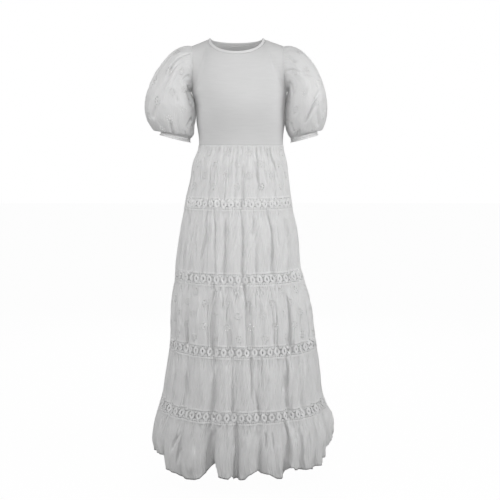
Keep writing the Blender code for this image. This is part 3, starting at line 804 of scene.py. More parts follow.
    def gathers(self, place: Array, drop: Array, scale: Array) -> Array:
        """The small uneven pleats below each layer's upper seam.

        Each pleat is a trough -a exp(-(d / w)^2) that is deepest 11 mm below the seam and fades
        out further down, at a distance of its own.

        Args:
            place: places between the seams.
            drop: drops, of the same shape.
            scale: metres for each unit of place.

        Returns:
            The lift of the cloth in metres.
        """
        lift = np.zeros_like(place)
        for layer in LAYERS:
            shortest, longest, deepest, apart = WAIST_GATHERS if layer.is_first else TIER_GATHERS
            below = drop - layer.top
            if drop.max() < layer.top - GATHER_LAP or drop.min() > layer.top + longest:
                continue
            draw = np.random.default_rng(40 * layer.number + self.half.value)
            _, around = self.plan_frame(np.array([0.5]), np.array([layer.top]))
            middles = np.cumsum(draw.uniform(*GATHER_GAPS, GATHER_MOST) * apart)
            middles = middles / (float(around[0]) * GATHER_SLACK)
            middles = middles[middles < 1]
            count = len(middles)
            deep = draw.uniform(0.35, 1.0, count) * deepest * MM
            long = draw.uniform(shortest, longest, count) * draw.uniform(0.5, 1.0, count)
            lean = draw.normal(0.0, GATHER_LEAN, count)
            wide = draw.uniform(*GATHER_WIDTHS, count)
            swell = grown(GATHER_TOP_SHARE, below / GATHER_RISE)
            swell = swell * smooth_step((below + GATHER_LAP) / GATHER_LAP)
            for k in range(count):
                run = np.clip(below / long[k], 0, 1)
                away = (place - middles[k]) * scale - lean[k] * run
                trough = bell(away / (wide[k] * (1 + GATHER_SPREAD * run)))
                lift -= deep[k] * swell * (1 - smooth_step(run)) * trough
        return lift

    def base(self, place: Array, drop: Array) -> Array:
        """The folded form, without creases. The ruffle follows the hem's line more towards it.

        Args:
            place: places between the seams.
            drop: drops, of the same shape.

        Returns:
            Points (x, y, z).
        """
        normal, _ = self.plan_frame(place, drop)
        plan = self.plan(place, drop) - normal * (self.depth(place, drop) + self.inset)[..., None]
        at, rise = HEM_LINES[self.half].T
        if self.half is Half.FRONT:
            rise = np.interp(place, at, rise)
        else:
            rise = through_rows(at, rise, place)
        ruffle_drop = LAYERS[-1].top
        lowering = np.clip((drop - ruffle_drop) / (HEM_DROP - ruffle_drop), 0, 1)
        return np.concatenate([plan, (lowering * rise - drop)[..., None]], axis=-1)

    def cloth_line(self, drop: float) -> tuple[Array, Array]:
        """How the folded cloth runs from seam to seam at one drop.

        Args:
            drop: the drop.

        Returns:
            Close places, and the metres of cloth from the right seam up to each.
        """
        places = np.linspace(0, 1, LINE_POINTS)
        return places, running_length(self.base(places, np.full_like(places, drop))[:, :2])

    def normals(self, place: Array, drop: Array) -> Array:
        """Outward normals of the folded form: the cross product of its two slopes.

        Args:
            place: places between the seams.
            drop: drops, of the same shape.

        Returns:
            Vectors of length 1.
        """
        step, fall = 0.0012, 0.002
        ahead, behind = np.minimum(place + step, 1), np.maximum(place - step, 0)
        across = self.base(ahead, drop) - self.base(behind, drop)
        down = self.base(place, drop + fall) - self.base(place, drop - fall)
        return unit(np.cross(across, down)) * self.half.value

    def surface(self, place: Array, drop: Array, crinkle_depth: float, lift: Array) -> Array:
        """The cloth with its creases, gathers and crinkles, which are calm beside the seams.

        Args:
            place: places between the seams.
            drop: drops, of the same shape.
            crinkle_depth: how deep the crinkles are, in metres.
            lift: metres added outwards.

        Returns:
            Points (x, y, z).
        """
        _, scale = self.plan_frame(place, drop)
        relief = self.creases(place, drop, scale) + self.gathers(place, drop, scale)
        across = place * self.cloth_width(drop)
        relief += crinkle_depth * SKIRT_CRINKLES.relief(across, drop, SKIRT_SEEDS[self.half])
        below = drop - WAIST_DROP
        calm = smooth_step(np.minimum(place, 1 - place) / SEAM_CALM)
        tuck, tuck_fade = WAIST_TUCK
        roll, roll_drop, roll_width = WAIST_ROLL
        relief = relief * calm * smooth_step(below / WAIST_CALM)
        relief -= tuck * smooth_step(-below / tuck_fade)
        relief += roll * bell((below - roll_drop) / roll_width)
        return self.base(place, drop) + self.normals(place, drop) * (relief + lift)[..., None]


# ---- Finishes


def add_node(tree: Tree, kind: str, **settings: object) -> Node:
    """A node with its settings.

    Args:
        tree: the node tree.
        kind: the node's kind.
        settings: its settings. One that starts with in_ is an input's value, or the socket that
            the input is linked to.

    Returns:
        The node.
    """
    node = tree.nodes.new(kind)
    for key, value in settings.items():
        if not key.startswith("in_"):
            setattr(node, key, value)
            continue
        spot = key[3:]
        socket = node.inputs[int(spot) if spot.isdigit() else spot.replace("_", " ")]
        if isinstance(value, Socket):
            tree.links.new(value, socket)
        else:
            socket.default_value = value
    return node


def maths(tree: Tree, operation: str, *values: object) -> Socket:
    """A Math node on numbers or sockets.

    Args:
        tree: the node tree.
        operation: the Math node's operation.
        values: its inputs, as numbers or sockets.

    Returns:
        Its output.
    """
    inputs = {f"in_{k}": value for k, value in enumerate(values)}
    return add_node(tree, "ShaderNodeMath", operation=operation, **inputs).outputs[0]


def sine_wave(tree: Tree, turns: Socket) -> Socket:
    """The nodes of |sin(pi x)|.

    Args:
        tree: the node tree.
        turns: the socket of x.

    Returns:
        The wave's output.
    """
    return maths(tree, "ABSOLUTE", maths(tree, "SINE", maths(tree, "MULTIPLY", turns, math.pi)))


def noise(tree: Tree, vector: Socket, scale: object, detail: float, roughness: float) -> Socket:
    """The nodes of a noise.

    Args:
        tree: the node tree.
        vector: the socket of its coordinates.
        scale: its scale, as a number or a socket.
        detail: its detail.
        roughness: its roughness.

    Returns:
        The noise's output.
    """
    inputs = {"in_Vector": vector, "in_Scale": scale, "in_Detail": detail, "in_Roughness": roughness}
    return add_node(tree, "ShaderNodeTexNoise", **inputs).outputs["Fac"]


def stretched(tree: Tree, vector: Socket, scale: Place) -> Socket:
    """The nodes of scaled coordinates.

    Args:
        tree: the node tree.
        vector: the socket of the coordinates.
        scale: the scale along each.

    Returns:
        The output.
    """
    return add_node(tree, "ShaderNodeMapping", in_Vector=vector, in_Scale=scale).outputs[0]


def grey(value: float) -> tuple[float, float, float, float]:
    """A grey as a colour."""
    return (value, value, value, 1.0)


@dataclass(frozen=True)
class Pattern:
    """A shader node group over the cloth's coordinates, with the outputs Height and Mottle. Mottle is tone,
    and for the weave and the pressed lines also painted shade.
    """

    name: str
    setting: str
    value: float
    tree: Tree = field(init=False)

    def __post_init__(self) -> None:
        """Makes the group's sockets, then its nodes."""
        tree = bpy.data.node_groups.new(self.name, "ShaderNodeTree")
        sockets = tree.interface.new_socket
        sockets("Cloth", in_out="INPUT", socket_type="NodeSocketVector")
        sockets(self.setting, in_out="INPUT", socket_type="NodeSocketFloat").default_value = self.value
        sockets("Height", in_out="OUTPUT", socket_type="NodeSocketFloat")
        sockets("Mottle", in_out="OUTPUT", socket_type="NodeSocketFloat")
        object.__setattr__(self, "tree", tree)
        height, mottle_and_shade = self.fill(tree, *add_node(tree, "NodeGroupInput").outputs[:2])
        add_node(tree, "NodeGroupOutput", in_Height=height, in_Mottle=mottle_and_shade)

    def fill(self, tree: Tree, cloth: Socket, number: Socket) -> tuple[Socket, Socket]:
        """Adds the nodes between the group's sockets.

        Args:
            tree: the group.
            cloth: the socket of the cloth's coordinates.
            number: the socket of the setting.

        Returns:
            The sockets of Height and Mottle.
        """
        raise NotImplementedError


class Weave(Pattern):
    """Plain weave with uneven threads.

    Height is the larger of two crossed thread waves, with a slub noise on it. Mottle is a share
    of it: painted shade darkens the gaps between threads, and the slubs make the tone uneven.
    """

    def fill(self, tree: Tree, cloth: Socket, number: Socket) -> tuple[Socket, Socket]:
        """Adds the two thread waves and the slubs.

        Args:
            tree: the group.
            cloth: the socket of the cloth's coordinates.
            number: the socket of the setting.

        Returns:
            The sockets of Height and Mottle.
        """
        split = add_node(tree, "ShaderNodeSeparateXYZ", in_0=cloth)
        threads = [sine_wave(tree, maths(tree, "MULTIPLY", split.outputs[axis], number)) for axis in (0, 1)]
        slubs = noise(tree, cloth, 260.0, 3.0, 0.6)
        height = maths(tree, "MULTIPLY_ADD", slubs, 0.8, maths(tree, "MAXIMUM", *threads))
        # Mottle: painted shade in the gaps between threads, and uneven tone from the slubs
        return height, maths(tree, "MULTIPLY", height, 0.6)


class PressedLines(Pattern):
    """Fine pressed lines that run down the cloth, from a noise that is stretched along it.

    Height is |2 n - 1| to the power 0.6 for a long and a short noise n. Mottle is painted shade
    that darkens the lines' grooves, and it adds soft patches of uneven tone.
    """

    def fill(self, tree: Tree, cloth: Socket, number: Socket) -> tuple[Socket, Socket]:
        """Adds the two stretched noises and the patches.

        Args:
            tree: the group.
            cloth: the socket of the cloth's coordinates.
            number: the socket of the setting.

        Returns:
            The sockets of Height and Mottle.
        """
        heights = []
        for stretch, share in ((0.10, 1.0), (0.22, 2.3)):
            long = noise(tree, stretched(tree, cloth, (share, stretch * share, 1.0)), number, 2.0, 0.5)
            long.node.inputs["Distortion"].default_value = 0.3
            ridge = maths(tree, "MULTIPLY_ADD", long, 2.0, -1.0)
            heights.append(maths(tree, "POWER", maths(tree, "ABSOLUTE", ridge), 0.6))
        total = maths(tree, "MULTIPLY_ADD", heights[1], 0.5, heights[0])
        soft = maths(tree, "MULTIPLY", noise(tree, cloth, 14.0, 3.0, 0.55), 0.4)
        # Painted shade: darker colour in the pressed lines' grooves, plus soft patches of uneven tone
        groove_shade_and_patches = maths(tree, "MULTIPLY_ADD", total, 0.55, soft)
        groove_shade_and_patches.node.use_clamp = True
        return total, groove_shade_and_patches


class Stockinette(Pattern):
    """Fine knit: V-shaped stitches in columns, as a wave across and a zigzag wave down.

    Height is |sin(pi x)| (0.6 + 0.4 |sin(pi (y + |frac(x) - 1/2|))|), x and y in stitches.
    Mottle is a noise that is drawn out into level lines.
    """

    def fill(self, tree: Tree, cloth: Socket, number: Socket) -> tuple[Socket, Socket]:
        """Adds the stitches and the level lines.

        Args:
            tree: the group.
            cloth: the socket of the cloth's coordinates.
            number: the socket of the setting.

        Returns:
            The sockets of Height and Mottle.
        """
        split = add_node(tree, "ShaderNodeSeparateXYZ", in_0=cloth)
        x, y = (maths(tree, "MULTIPLY", split.outputs[axis], number) for axis in (0, 1))
        zig = maths(tree, "ABSOLUTE", maths(tree, "ADD", maths(tree, "FRACT", x), -0.5))
        row = sine_wave(tree, maths(tree, "ADD", y, zig))
        height = maths(tree, "MULTIPLY", sine_wave(tree, x), maths(tree, "MULTIPLY_ADD", row, 0.4, 0.6))
        return height, noise(tree, stretched(tree, cloth, (0.12, 1.0, 1.0)), 150.0, 3.0, 0.55)


@dataclass(frozen=True)
class Finish:
    """A cloth's material, and the record's slot that it belongs to."""

    slot: str
    tone: float
    # The darker grey: painted shade in pressed-line grooves and thread gaps, and darker tone in the knits'
    # level lines
    shaded: float
    roughness: float
    weave: Pattern
    weave_depth: float
    sheer: float = 0.0
    lines: Pattern | None = None
    lines_depth: float = 0.0
    material: bpy.types.Material = field(init=False)

    def __post_init__(self) -> None:
        """Builds the material once."""
        object.__setattr__(self, "material", self.build())

    def relief(self, tree: Tree, pattern: Pattern, **bump: object) -> tuple[Socket, Socket]:
        """Adds a pattern and its bump.

        Args:
            tree: the material's node tree.
            pattern: the pattern.
            bump: the bump's inputs.

        Returns:
            The sockets of the bent normal and of the Mottle, tone with painted shade in it.
        """
        cloth = add_node(tree, "ShaderNodeUVMap", uv_map="cloth")
        group = add_node(tree, "ShaderNodeGroup", node_tree=pattern.tree, in_Cloth=cloth.outputs[0])
        bent = add_node(tree, "ShaderNodeBump", in_Height=group.outputs["Height"], **bump)
        return bent.outputs[0], group.outputs["Mottle"]

    def build(self) -> bpy.types.Material:
        """Cloth colour mottled by the last pattern, with painted shade in the pressed lines' grooves and
        the weave's thread gaps, and with both patterns as bumps.

        Returns:
            The material.
        """
        material = bpy.data.materials.new(f"{self.slot}_cloth")
        material.use_nodes = True
        tree = material.node_tree
        tree.nodes.clear()
        normal, mottle_and_shade = self.relief(tree, self.weave, in_Strength=0.5, in_Distance=self.weave_depth)
        if self.lines is not None:
            normal, mottle_and_shade = self.relief(
                tree, self.lines, in_Strength=0.7, in_Distance=self.lines_depth, in_Normal=normal
            )
        # Base colour goes to the darker grey where the Mottle is low: painted shade in the cotton's pressed
        # lines and the lace's thread gaps, random tone in the knits
        mixed = add_node(
            tree,
            "ShaderNodeMix",
            data_type="RGBA",
            in_0=mottle_and_shade,
            in_6=grey(self.shaded),
            in_7=grey(self.tone),
        )
        shader = add_node(
            tree,
            "ShaderNodeBsdfPrincipled",
            in_Base_Color=mixed.outputs[2],
            in_Normal=normal,
            in_Roughness=self.roughness,
            in_Sheen_Weight=0.25,
            in_Sheen_Roughness=0.5,
            in_Specular_IOR_Level=0.25,
        )
        if self.sheer > 0:
            through = add_node(tree, "ShaderNodeBsdfTranslucent", in_Color=grey(self.tone))
            shader = add_node(
                tree,
                "ShaderNodeMixShader",
                in_0=self.sheer,
                in_1=shader.outputs[0],
                in_2=through.outputs[0],
            )
        add_node(tree, "ShaderNodeOutputMaterial", in_Surface=shader.outputs[0])
        return material


@dataclass
class Wardrobe:
    """The dress's four finishes."""

    cotton: Finish = field(init=False)
    lace: Finish = field(init=False)
    knit: Finish = field(init=False)
    rib: Finish = field(init=False)

    def __post_init__(self) -> None:
        """Builds the shared patterns and the finishes."""
        weave = Weave("plain_weave", "Threads", 1400.0)
        lines = PressedLines("pressed_lines", "Across", 170.0)
        knit = Stockinette("fine_stitches", "Stitches", 700.0)
        self.cotton = Finish(
            "cotton", 0.85, 0.70, 0.86, weave, 0.08 * MM, sheer=0.18, lines=lines, lines_depth=2.0 * MM
        )
        self.lace = Finish("lace", 0.82, 0.72, 0.9, weave, 0.4 * MM, sheer=0.15)
        self.knit = Finish("fine_knit", 0.60, 0.54, 0.92, knit, 0.12 * MM)
        self.rib = Finish("rib_knit", 0.68, 0.62, 0.9, knit, 0.2 * MM)


# ---- The skirt


@dataclass
class Skirt:
    """Four gathered tiers with lace insertions between them, and a gathered ruffle."""

    finishes: Wardrobe
    across: float = 1.75 * MM
    down: float = 5.0 * MM
    tuck: float = 1.0 * MM
    waist_tuck: float = 5.0 * MM
    hem_rows: tuple[float, ...] = (0.5 * MM, 1.2 * MM, 3.0 * MM, 6.0 * MM, 10.0 * MM)
    hem_turn: tuple[float, float] = (1.1 * MM, 1.2 * MM)
    stitch_pitch: float = 4.0 * MM
    seam_stitches: float = 2.6 * MM
    hem_stitches: float = 9.0 * MM
    crinkle_depth: tuple[float, ...] = (1.5 * MM, 2.1 * MM, 2.1 * MM, 2.2 * MM, 2.2 * MM)

    def places(self, form: SkirtForm, drop: float) -> tuple[Array, Array]:
        """Columns that are even along the cloth.

        Args:
            form: the half's form.
            drop: where the spacing is measured.

        Returns:
            The columns' places, and the metres of cloth from the right seam to each.
        """
        places, length = form.cloth_line(drop)
        even = np.linspace(0, length[-1], int(round(length[-1] / self.across)) + 1)
        return np.interp(even, length, places), even

    def panel(self, layer: Layer, half: Half) -> Item:
        """One half of a tier or of the ruffle.

        Args:
            layer: the gathered layer.
            half: front or back.

        Returns:
            The piece.
        """
        form = SkirtForm(half)
        places, cloth = self.places(form, layer.bottom)
        rows = int(round(layer.height / self.down))
        first = layer.top - (self.waist_tuck if layer.is_first else self.tuck)
        last = layer.bottom + (0 if layer.is_ruffle else self.tuck)
        drops = np.linspace(first, last, rows)
        if layer.is_ruffle:
            drops = np.concatenate([drops, layer.bottom + np.array(self.hem_rows)])
        flip = half is Half.FRONT

        def surface(spots: Array, lift: Array) -> Array:
            """The points of the cloth at cloth coordinates. Below the hem it is turned up inside.

            Args:
                spots: cloth coordinates.
                lift: metres added outwards.

            Returns:
                Points (x, y, z).
            """
            turned = np.maximum(spots[:, 1] - layer.bottom, 0) if layer.is_ruffle else 0.0
            under = self.hem_turn[0] * smooth_step(turned / self.hem_turn[1])
            place = np.interp(spots[:, 0], cloth, places)
            depth = self.crinkle_depth[layer.number - 1]
            return form.surface(place, spots[:, 1] - 2 * turned, depth, lift - under)

        sheet = np.stack(np.meshgrid(cloth, drops), axis=-1)
        if layer.number in FLOWER_ROWS:
            net = pierced(sheet, flower_holes(self.flowers(layer, places, cloth)), surface, flip)
        else:
            flat = sheet.reshape(-1, 2)
            net = Net.grid(surface(flat, np.zeros(len(flat))).reshape(*sheet.shape[:2], 3), sheet, flip)
        across = np.arange(self.stitch_pitch, cloth[-1] - self.stitch_pitch, self.stitch_pitch)
        lower = self.hem_stitches if layer.is_ruffle else self.seam_stitches
        nets = [net] + [
            stitches(across, level, surface, flip)
            for level in (layer.top + self.seam_stitches, layer.bottom - lower)
        ]
        node = f"{layer.name}_{half.word}"
        piece = make_piece(f"{node}_cloth", Net.joined(nets), self.finishes.cotton, node)
        return piece

    def flowers(self, layer: Layer, places: Array, cloth: Array) -> Array:
        """The middles of a tier's flowers, on a half-drop lattice from its middle.

        Args:
            layer: the tier.
            places: its columns' places.
            cloth: the metres of cloth from the right seam to each column.

        Returns:
            The middles in cloth coordinates.
        """
        start = float(np.interp(FLOWER_MIDDLE, places, cloth))
        middles = []
        for k in range(-int(start / FLOWER_SPACING), int((cloth[-1] - start) / FLOWER_SPACING) + 1):
            across = start + k * FLOWER_SPACING
            if FLOWER_MARGIN < across < cloth[-1] - FLOWER_MARGIN:
                middles += [(across, drop) for drop in FLOWER_ROWS[layer.number][k % 2]]
        return np.array(middles)

    def build(self) -> None:
        """Builds every layer and insertion."""
        for half in Half:
            for layer in LAYERS:
                self.panel(layer, half)
            for number in range(1, len(LAYERS)):
                LaceBand(number, half, self.finishes).build()


# Rings in one half of each insertion
LACE_REPEATS = (23, 27, 30, 35)
RING_SIDES = 24
# From a ring's hole to its outer edge, and the heights of the braided edge in millimetres
RING_STEPS = np.array([0.0, 0.16, 0.45, 0.80, 1.0])
BRAID_LIFTS = np.array([0.1, 0.8, 0.55, 0.8, 0.6, 0.35])
# A thread's section across, and how far it stands up
THREAD = np.array([-1.0, 0.0, 1.0]) * MM
THREAD_LIFTS = np.array([0.1, 0.8, 0.1]) * MM


@dataclass
class LaceBand:
    """One half of a lace insertion: a chain of oval rings between ladders and braided edges.

    Sizes are in metres, across the band from its middle.
    """

    number: int
    half: Half
    finishes: Wardrobe
    ring_width: float = 9.1 * MM
    ring_height: float = 12.0 * MM
    hole_width: float = 2.1 * MM
    hole_height: float = 4.5 * MM
    squareness: float = 2.15
    knot_radius: float = 2.0 * MM
    knot_level: float = 9.9 * MM
    tie_levels: tuple[float, ...] = (-4.0 * MM, 0.0, 4.0 * MM)
    tie_lap: float = 1.0 * MM
    ladder_bars: int = 4
    rail: float = 12.7 * MM
    ladder: float = 16.6 * MM
    bar_laps: tuple[float, float] = (0.6 * MM, 0.3 * MM)
    braid: tuple[float, ...] = (17.7 * MM, 18.6 * MM, 19.5 * MM, 20.4 * MM)
    edge: float = 21.0 * MM
    lap: float = 1.2 * MM
    crinkle_depth: float = 0.15 * MM

    def strip(self, xs: Array, levels: Array, lifts: Array) -> Net:
        """A strip of thread on the flat band.

        Args:
            xs: where its points are along the band.
            levels: where they are across it.
            lifts: how far they stand up, of a shape that goes with (xs, levels).

        Returns:
            A net of points (x, level, lift).
        """
        x, level = np.meshgrid(xs, levels, indexing="ij")
        spots = np.stack([x, level, np.broadcast_to(lifts, x.shape)], axis=-1).swapaxes(0, 1)
        return Net.grid(spots, spots[..., :2])

    def ring(self) -> Net:
        """An oval ring: |x/a|^n + |y/b|^n = 1 outside, an ellipse inside, with a rounded section.

        Returns:
            A net of points (x, level, lift).
        """
        rim = circle(RING_SIDES, 0.5)
        inner = rim * (self.hole_width, self.hole_height)
        outer = np.sign(rim) * np.abs(rim) ** (2 / self.squareness)
        outer = outer * (self.ring_width, self.ring_height)
        flat = inner[None] + (outer - inner)[None] * RING_STEPS[:, None, None]
        lift = (0.1 + 0.75 * np.sin(np.pi * RING_STEPS) ** 0.7) * MM
        lift = np.broadcast_to(lift[:, None], flat.shape[:2])
        number = np.arange(lift.size).reshape(lift.shape)
        ahead = np.roll(number, -1, axis=1)
        quads = np.stack([number[:-1], number[1:], ahead[1:], ahead[:-1]], axis=-1).reshape(-1, 4)
        spots = np.concatenate([flat, lift[..., None]], axis=-1)
        return Net(spots.reshape(-1, 3), flat.reshape(-1, 2), [quads])

    def knot(self, x: float, level: float) -> Net:
        """A small round knot of thread: an eight-sided cap.

        Args:
            x: where it is along the band.
            level: where it is across it.

        Returns:
            A net of points (x, level, lift).
        """
        flat = np.concatenate([(x, level) + self.knot_radius * circle(8), [[x, level]]])
        spots = np.concatenate([flat, np.array([[0.1]] * 8 + [[1.0]]) * MM], axis=-1)
        around = np.arange(8)
        return Net(spots, flat, [np.stack([around, (around + 1) % 8, np.full(8, 8)], axis=-1)])

    def repeat(self, pitch: float) -> Net:
        """One repeat of the lace: a ring, its ties and knots, and the ladder and braid on each side.

        Args:
            pitch: the repeat's length along the band.

        Returns:
            A net of points (x, level, lift), with x from -pitch/2 to pitch/2.
        """
        side = pitch / 2
        parts = [self.ring()]
        for x in (-side + self.knot_radius, side - self.knot_radius):
            parts += [self.knot(x, level) for level in (-self.knot_level, self.knot_level)]
        tied = self.ring_width - self.tie_lap
        for middle in self.tie_levels:
            for ends in ((-side, -tied), (tied, side)):
                parts.append(self.strip(np.array(ends), middle + THREAD * 0.8, THREAD_LIFTS))
        coarse, fine = np.linspace(-side, side, 9), np.linspace(-side, side, 13)
        dots = np.cos(np.arange(13) * np.pi)[:, None] * np.array([0, 0, 1, 0, 0, 0])
        braid_lifts = (BRAID_LIFTS[None] + 0.25 * dots) * MM
        bars = (np.arange(self.ladder_bars) + 0.5) / self.ladder_bars * pitch - side
        for sign in (-1, 1):
            rail = sign * (self.rail + THREAD * 1.1)
            parts.append(self.strip(coarse, rail[::sign], THREAD_LIFTS))
            levels = sign * np.array([self.ladder, *self.braid, self.edge + self.lap])
            parts.append(self.strip(fine, levels[::sign], braid_lifts[:, ::sign]))
            ends = sign * np.array([self.rail + self.bar_laps[0], self.ladder + self.bar_laps[1]])
            for middle in bars:
                parts.append(self.strip(middle + THREAD * 1.3, np.sort(ends), THREAD_LIFTS[:, None]))
        return Net.joined(parts)

    def build(self) -> Item:
        """Bends the repeats onto the skirt's form.

        Returns:
            The piece.
        """
        form = SkirtForm(self.half)
        middle = (LAYERS[self.number - 1].bottom + LAYERS[self.number].top) / 2
        places, length = form.cloth_line(middle)
        repeats = LACE_REPEATS[self.number - 1]
        pitch = float(length[-1]) / repeats
        lace = self.repeat(pitch)
        count = np.arange(repeats)[:, None]
        x = (lace.points[:, 0] + (count + 0.5) * pitch).ravel()
        level, lift = np.tile(lace.points[:, 1:], (repeats, 1)).T
        points = form.surface(np.interp(x, length, places), middle + level, self.crinkle_depth, lift)
        starts = count[..., None] * len(lace.points)
        faces = [(part[None] + starts).reshape(-1, part.shape[1]) for part in lace.faces]
        faces = faces if self.half is Half.FRONT else [part[:, ::-1] for part in faces]
        net = Net(points, np.stack([x, level], axis=-1), faces)
        node = f"lace_{self.number}_{self.half.word}"
        piece = make_piece(f"{node}_rings", net, self.finishes.lace, node)
        flat = Net(np.stack([x, level, np.zeros_like(x)], axis=-1), net.cloth, faces)
        area = min(flat.area(), 0.999 * float(length[-1]) * LACE_HEIGHT)
        return piece


# ---- The sleeves

# Each ring's outer reach and drop, inner reach and drop as seen from the front, and half depth
SLEEVE_RINGS = {
    Hand.RIGHT: np.array(
        [
            (1420, 175, 1455, 1620, 520), (1680, 165, 1535, 1655, 660),
            (2050, 340, 1550, 1720, 800), (2470, 820, 1470, 1900, 910),
            (2770, 1350, 1385, 2120, 960), (2935, 1900, 1348, 2375, 940),
            (2920, 2400, 1375, 2680, 830), (2700, 2810, 1365, 2970, 640),
            (2440, 2970, 1570, 3090, 460),
        ]
    ) / 10_000,
    Hand.LEFT: np.array(
        [
            (1470, 175, 1600, 1620, 520), (1750, 165, 1695, 1655, 660),
            (2120, 340, 1700, 1730, 800), (2520, 820, 1655, 1910, 910),
            (2760, 1350, 1605, 2130, 960), (2885, 1900, 1585, 2370, 940),
            (2885, 2400, 1585, 2660, 830), (2770, 2790, 1610, 2960, 640),
            (2580, 2980, 1780, 3090, 460),
        ]
    ) / 10_000,
}
LAST_RING = 8
# How far each ring fills out towards the bodice, in millimetres, and over what angle
SLEEVE_FULLNESS = {
    Hand.RIGHT: (0.0, 4.0, 12.0, 14.0, 9.0, 5.4, 4.0, 0.0, 9.0),
    Hand.LEFT: (0.0, 4.0, 11.0, 10.4, 7.0, 6.0, 6.0, 0.0, 6.0),
}
FULLNESS_ANGLE = 0.85
ARMHOLE_BEND = 0.10
CUFF_SLANT = 0.011
CUFF_SLANT_MIDDLE = 0.45
CUFF_PLEAT_SHARE = 0.62
# Metres of cloth for each radian round the sleeve, and for each ring along it
SLEEVE_CLOTH = (0.086, 0.036)

SLEEVE_FOLDS = 14
SLEEVE_FOLD_HALF_WIDTH = 0.42
SLEEVE_FOLD_DEPTHS = (0.0015, 0.0040, 0.0050, 0.0040, 0.0030, 0.0030, 0.0045, 0.0060, 0.0020)
SLEEVE_SEEDS = {Hand.RIGHT: 31, Hand.LEFT: 32}
SLEEVE_CRINKLE_DEPTH = 0.8 * MM
SEAM_BLEND_ANGLE = 0.12
# The gathers at the sleeve head and above the elastic: the ring, how many rings far they reach,
# their depth in millimetres, its share at the underarm and outside, and both hands' seeds
SLEEVE_GATHERS = (
    (0.0, 2.2, 2.4, 0.25, 1.00, {Hand.RIGHT: 11, Hand.LEFT: 18}),
    (8.0, 1.9, 2.6, 1.00, 0.35, {Hand.RIGHT: 12, Hand.LEFT: 19}),
)
# The flowers' levels in metres of cloth, in even and odd columns, and their columns round the arm
SLEEVE_FLOWER_ROWS = ((0.097, 0.172, 0.247), (0.0595, 0.1345, 0.2095))
SLEEVE_FLOWER_COLUMNS = 12
SLEEVE_FLOWER_START = 0.0975

# Creases on a sleeve: the depth and half width in millimetres, then points of (angle, ring).
# Angle 0 is outside, pi / 2 in front and pi at the underarm.
SLEEVE_CREASE_SCALE = 2.2
SLEEVE_CREASE_LIMIT = 1.8
SLEEVE_CREASES = {
    Hand.RIGHT: (
        (3.0, 4.5, (0.84, 0.0), (1.00, 1.6), (1.24, 3.3)),
        (2.4, 4.5, (1.26, 1.0), (1.30, 3.0), (1.31, 5.0)),
        (1.4, 5.0, (1.57, 2.3), (1.54, 3.2), (1.50, 4.0)),
        (1.8, 7.0, (1.60, 3.5), (1.82, 3.8), (1.98, 4.4)),
        (3.5, 6.0, (0.84, 6.1), (0.93, 5.75), (1.08, 5.05)),
        (4.0, 6.0, (2.39, 6.4), (2.60, 5.8), (2.76, 5.2)),
        (5.0, 8.0, (2.69, 4.4), (2.55, 2.3), (2.34, 1.2)),
        (5.0, 6.0, (2.30, 2.5), (2.52, 3.2), (2.62, 4.0)),
        (3.0, 6.0, (0.30, 1.0), (0.42, 3.0), (0.40, 5.5)),
        (2.5, 5.0, (1.90, 0.3), (1.98, 1.6), (2.10, 2.6)),
        (3.0, 5.0, (1.70, 5.8), (1.62, 6.6), (1.60, 7.6)),
    ),
    Hand.LEFT: (
        (6.0, 6.0, (0.56, 4.2), (0.94, 4.45), (1.26, 4.8), (1.48, 5.3), (1.66, 5.9), (1.80, 6.3)),
        (-1.4, 6.0, (0.60, 4.65), (0.98, 4.95), (1.24, 5.35), (1.42, 5.9), (1.56, 6.4)),
        (2.6, 4.5, (1.78, 0.1), (1.62, 1.3), (1.50, 2.3), (1.15, 2.9), (0.79, 3.2)),
        (2.2, 3.5, (0.98, 3.0), (0.92, 3.5), (0.86, 4.1)),
        (2.2, 3.5, (0.65, 3.1), (0.64, 3.6), (0.63, 4.05)),
        (2.6, 4.0, (1.03, 0.6), (1.15, 1.0), (1.27, 1.6)),
        (3.5, 5.0, (1.92, 6.6), (2.10, 7.2), (2.30, 7.85)),
        (3.5, 6.0, (1.13, 5.35), (1.00, 6.0), (0.82, 6.8)),
        (3.5, 6.0, (2.51, 5.8), (2.42, 6.4), (2.30, 7.0)),
        (5.0, 8.0, (2.93, 0.9), (2.99, 2.2), (2.97, 3.6)),
        (3.0, 6.0, (0.25, 0.8), (0.30, 2.6), (0.22, 5.0)),
        (3.0, 6.0, (2.20, 0.6), (2.34, 2.2), (2.30, 3.8)),
    ),
}
BOTH_SLEEVES_CREASES = (
    (3.5, 6.0, (4.40, 0.6), (4.30, 3.0), (4.50, 5.0)),
    (3.0, 6.0, (5.20, 1.0), (5.30, 3.5), (5.15, 6.0)),
    (4.0, 7.0, (3.70, 2.0), (3.80, 4.2), (3.60, 6.0)),
)


def smooth_line(points: Array) -> Array:
    """A Catmull-Rom curve in 8 steps a piece, as a polyline with rounded corners.

    Args:
        points: where the curve runs through.

    Returns:
        The polyline.
    """
    ends = np.concatenate([2 * points[:1] - points[1:2], points, 2 * points[-1:] - points[-2:-1]])
    t = np.linspace(0, 1, 9)[None, :-1, None]
    a, b, c, d = (ends[k : len(ends) - 3 + k, None] for k in range(4))
    square, cube = 2 * a - 5 * b + 4 * c - d, 3 * b - a - 3 * c + d
    curve = 0.5 * (2 * b + (c - a) * t + square * t**2 + cube * t**3)
    return np.concatenate([curve.reshape(-1, 2), points[-1:]])


def line_distance(here: Array, line: Array) -> tuple[Array, Array]:
    """How far points are from a polyline.

    Args:
        here: the points.
        line: the polyline's points.

    Returns:
        The distances, and the shares of the line's length where it is nearest.
    """
    lengths = np.linalg.norm(np.diff(line, axis=0), axis=-1)
    starts = running_length(line)
    best, run = np.full(here.shape[:-1], 1e9), np.zeros(here.shape[:-1])
    for i, length in enumerate(lengths):
        way = (line[i + 1] - line[i]) / length
        t = np.clip((here - line[i]) @ way, 0, length)
        away = np.linalg.norm(here - line[i] - t[..., None] * way, axis=-1)
        nearer = away < best
        best = np.where(nearer, away, best)
        run = np.where(nearer, (starts[i] + t) / starts[-1], run)
    return best, run


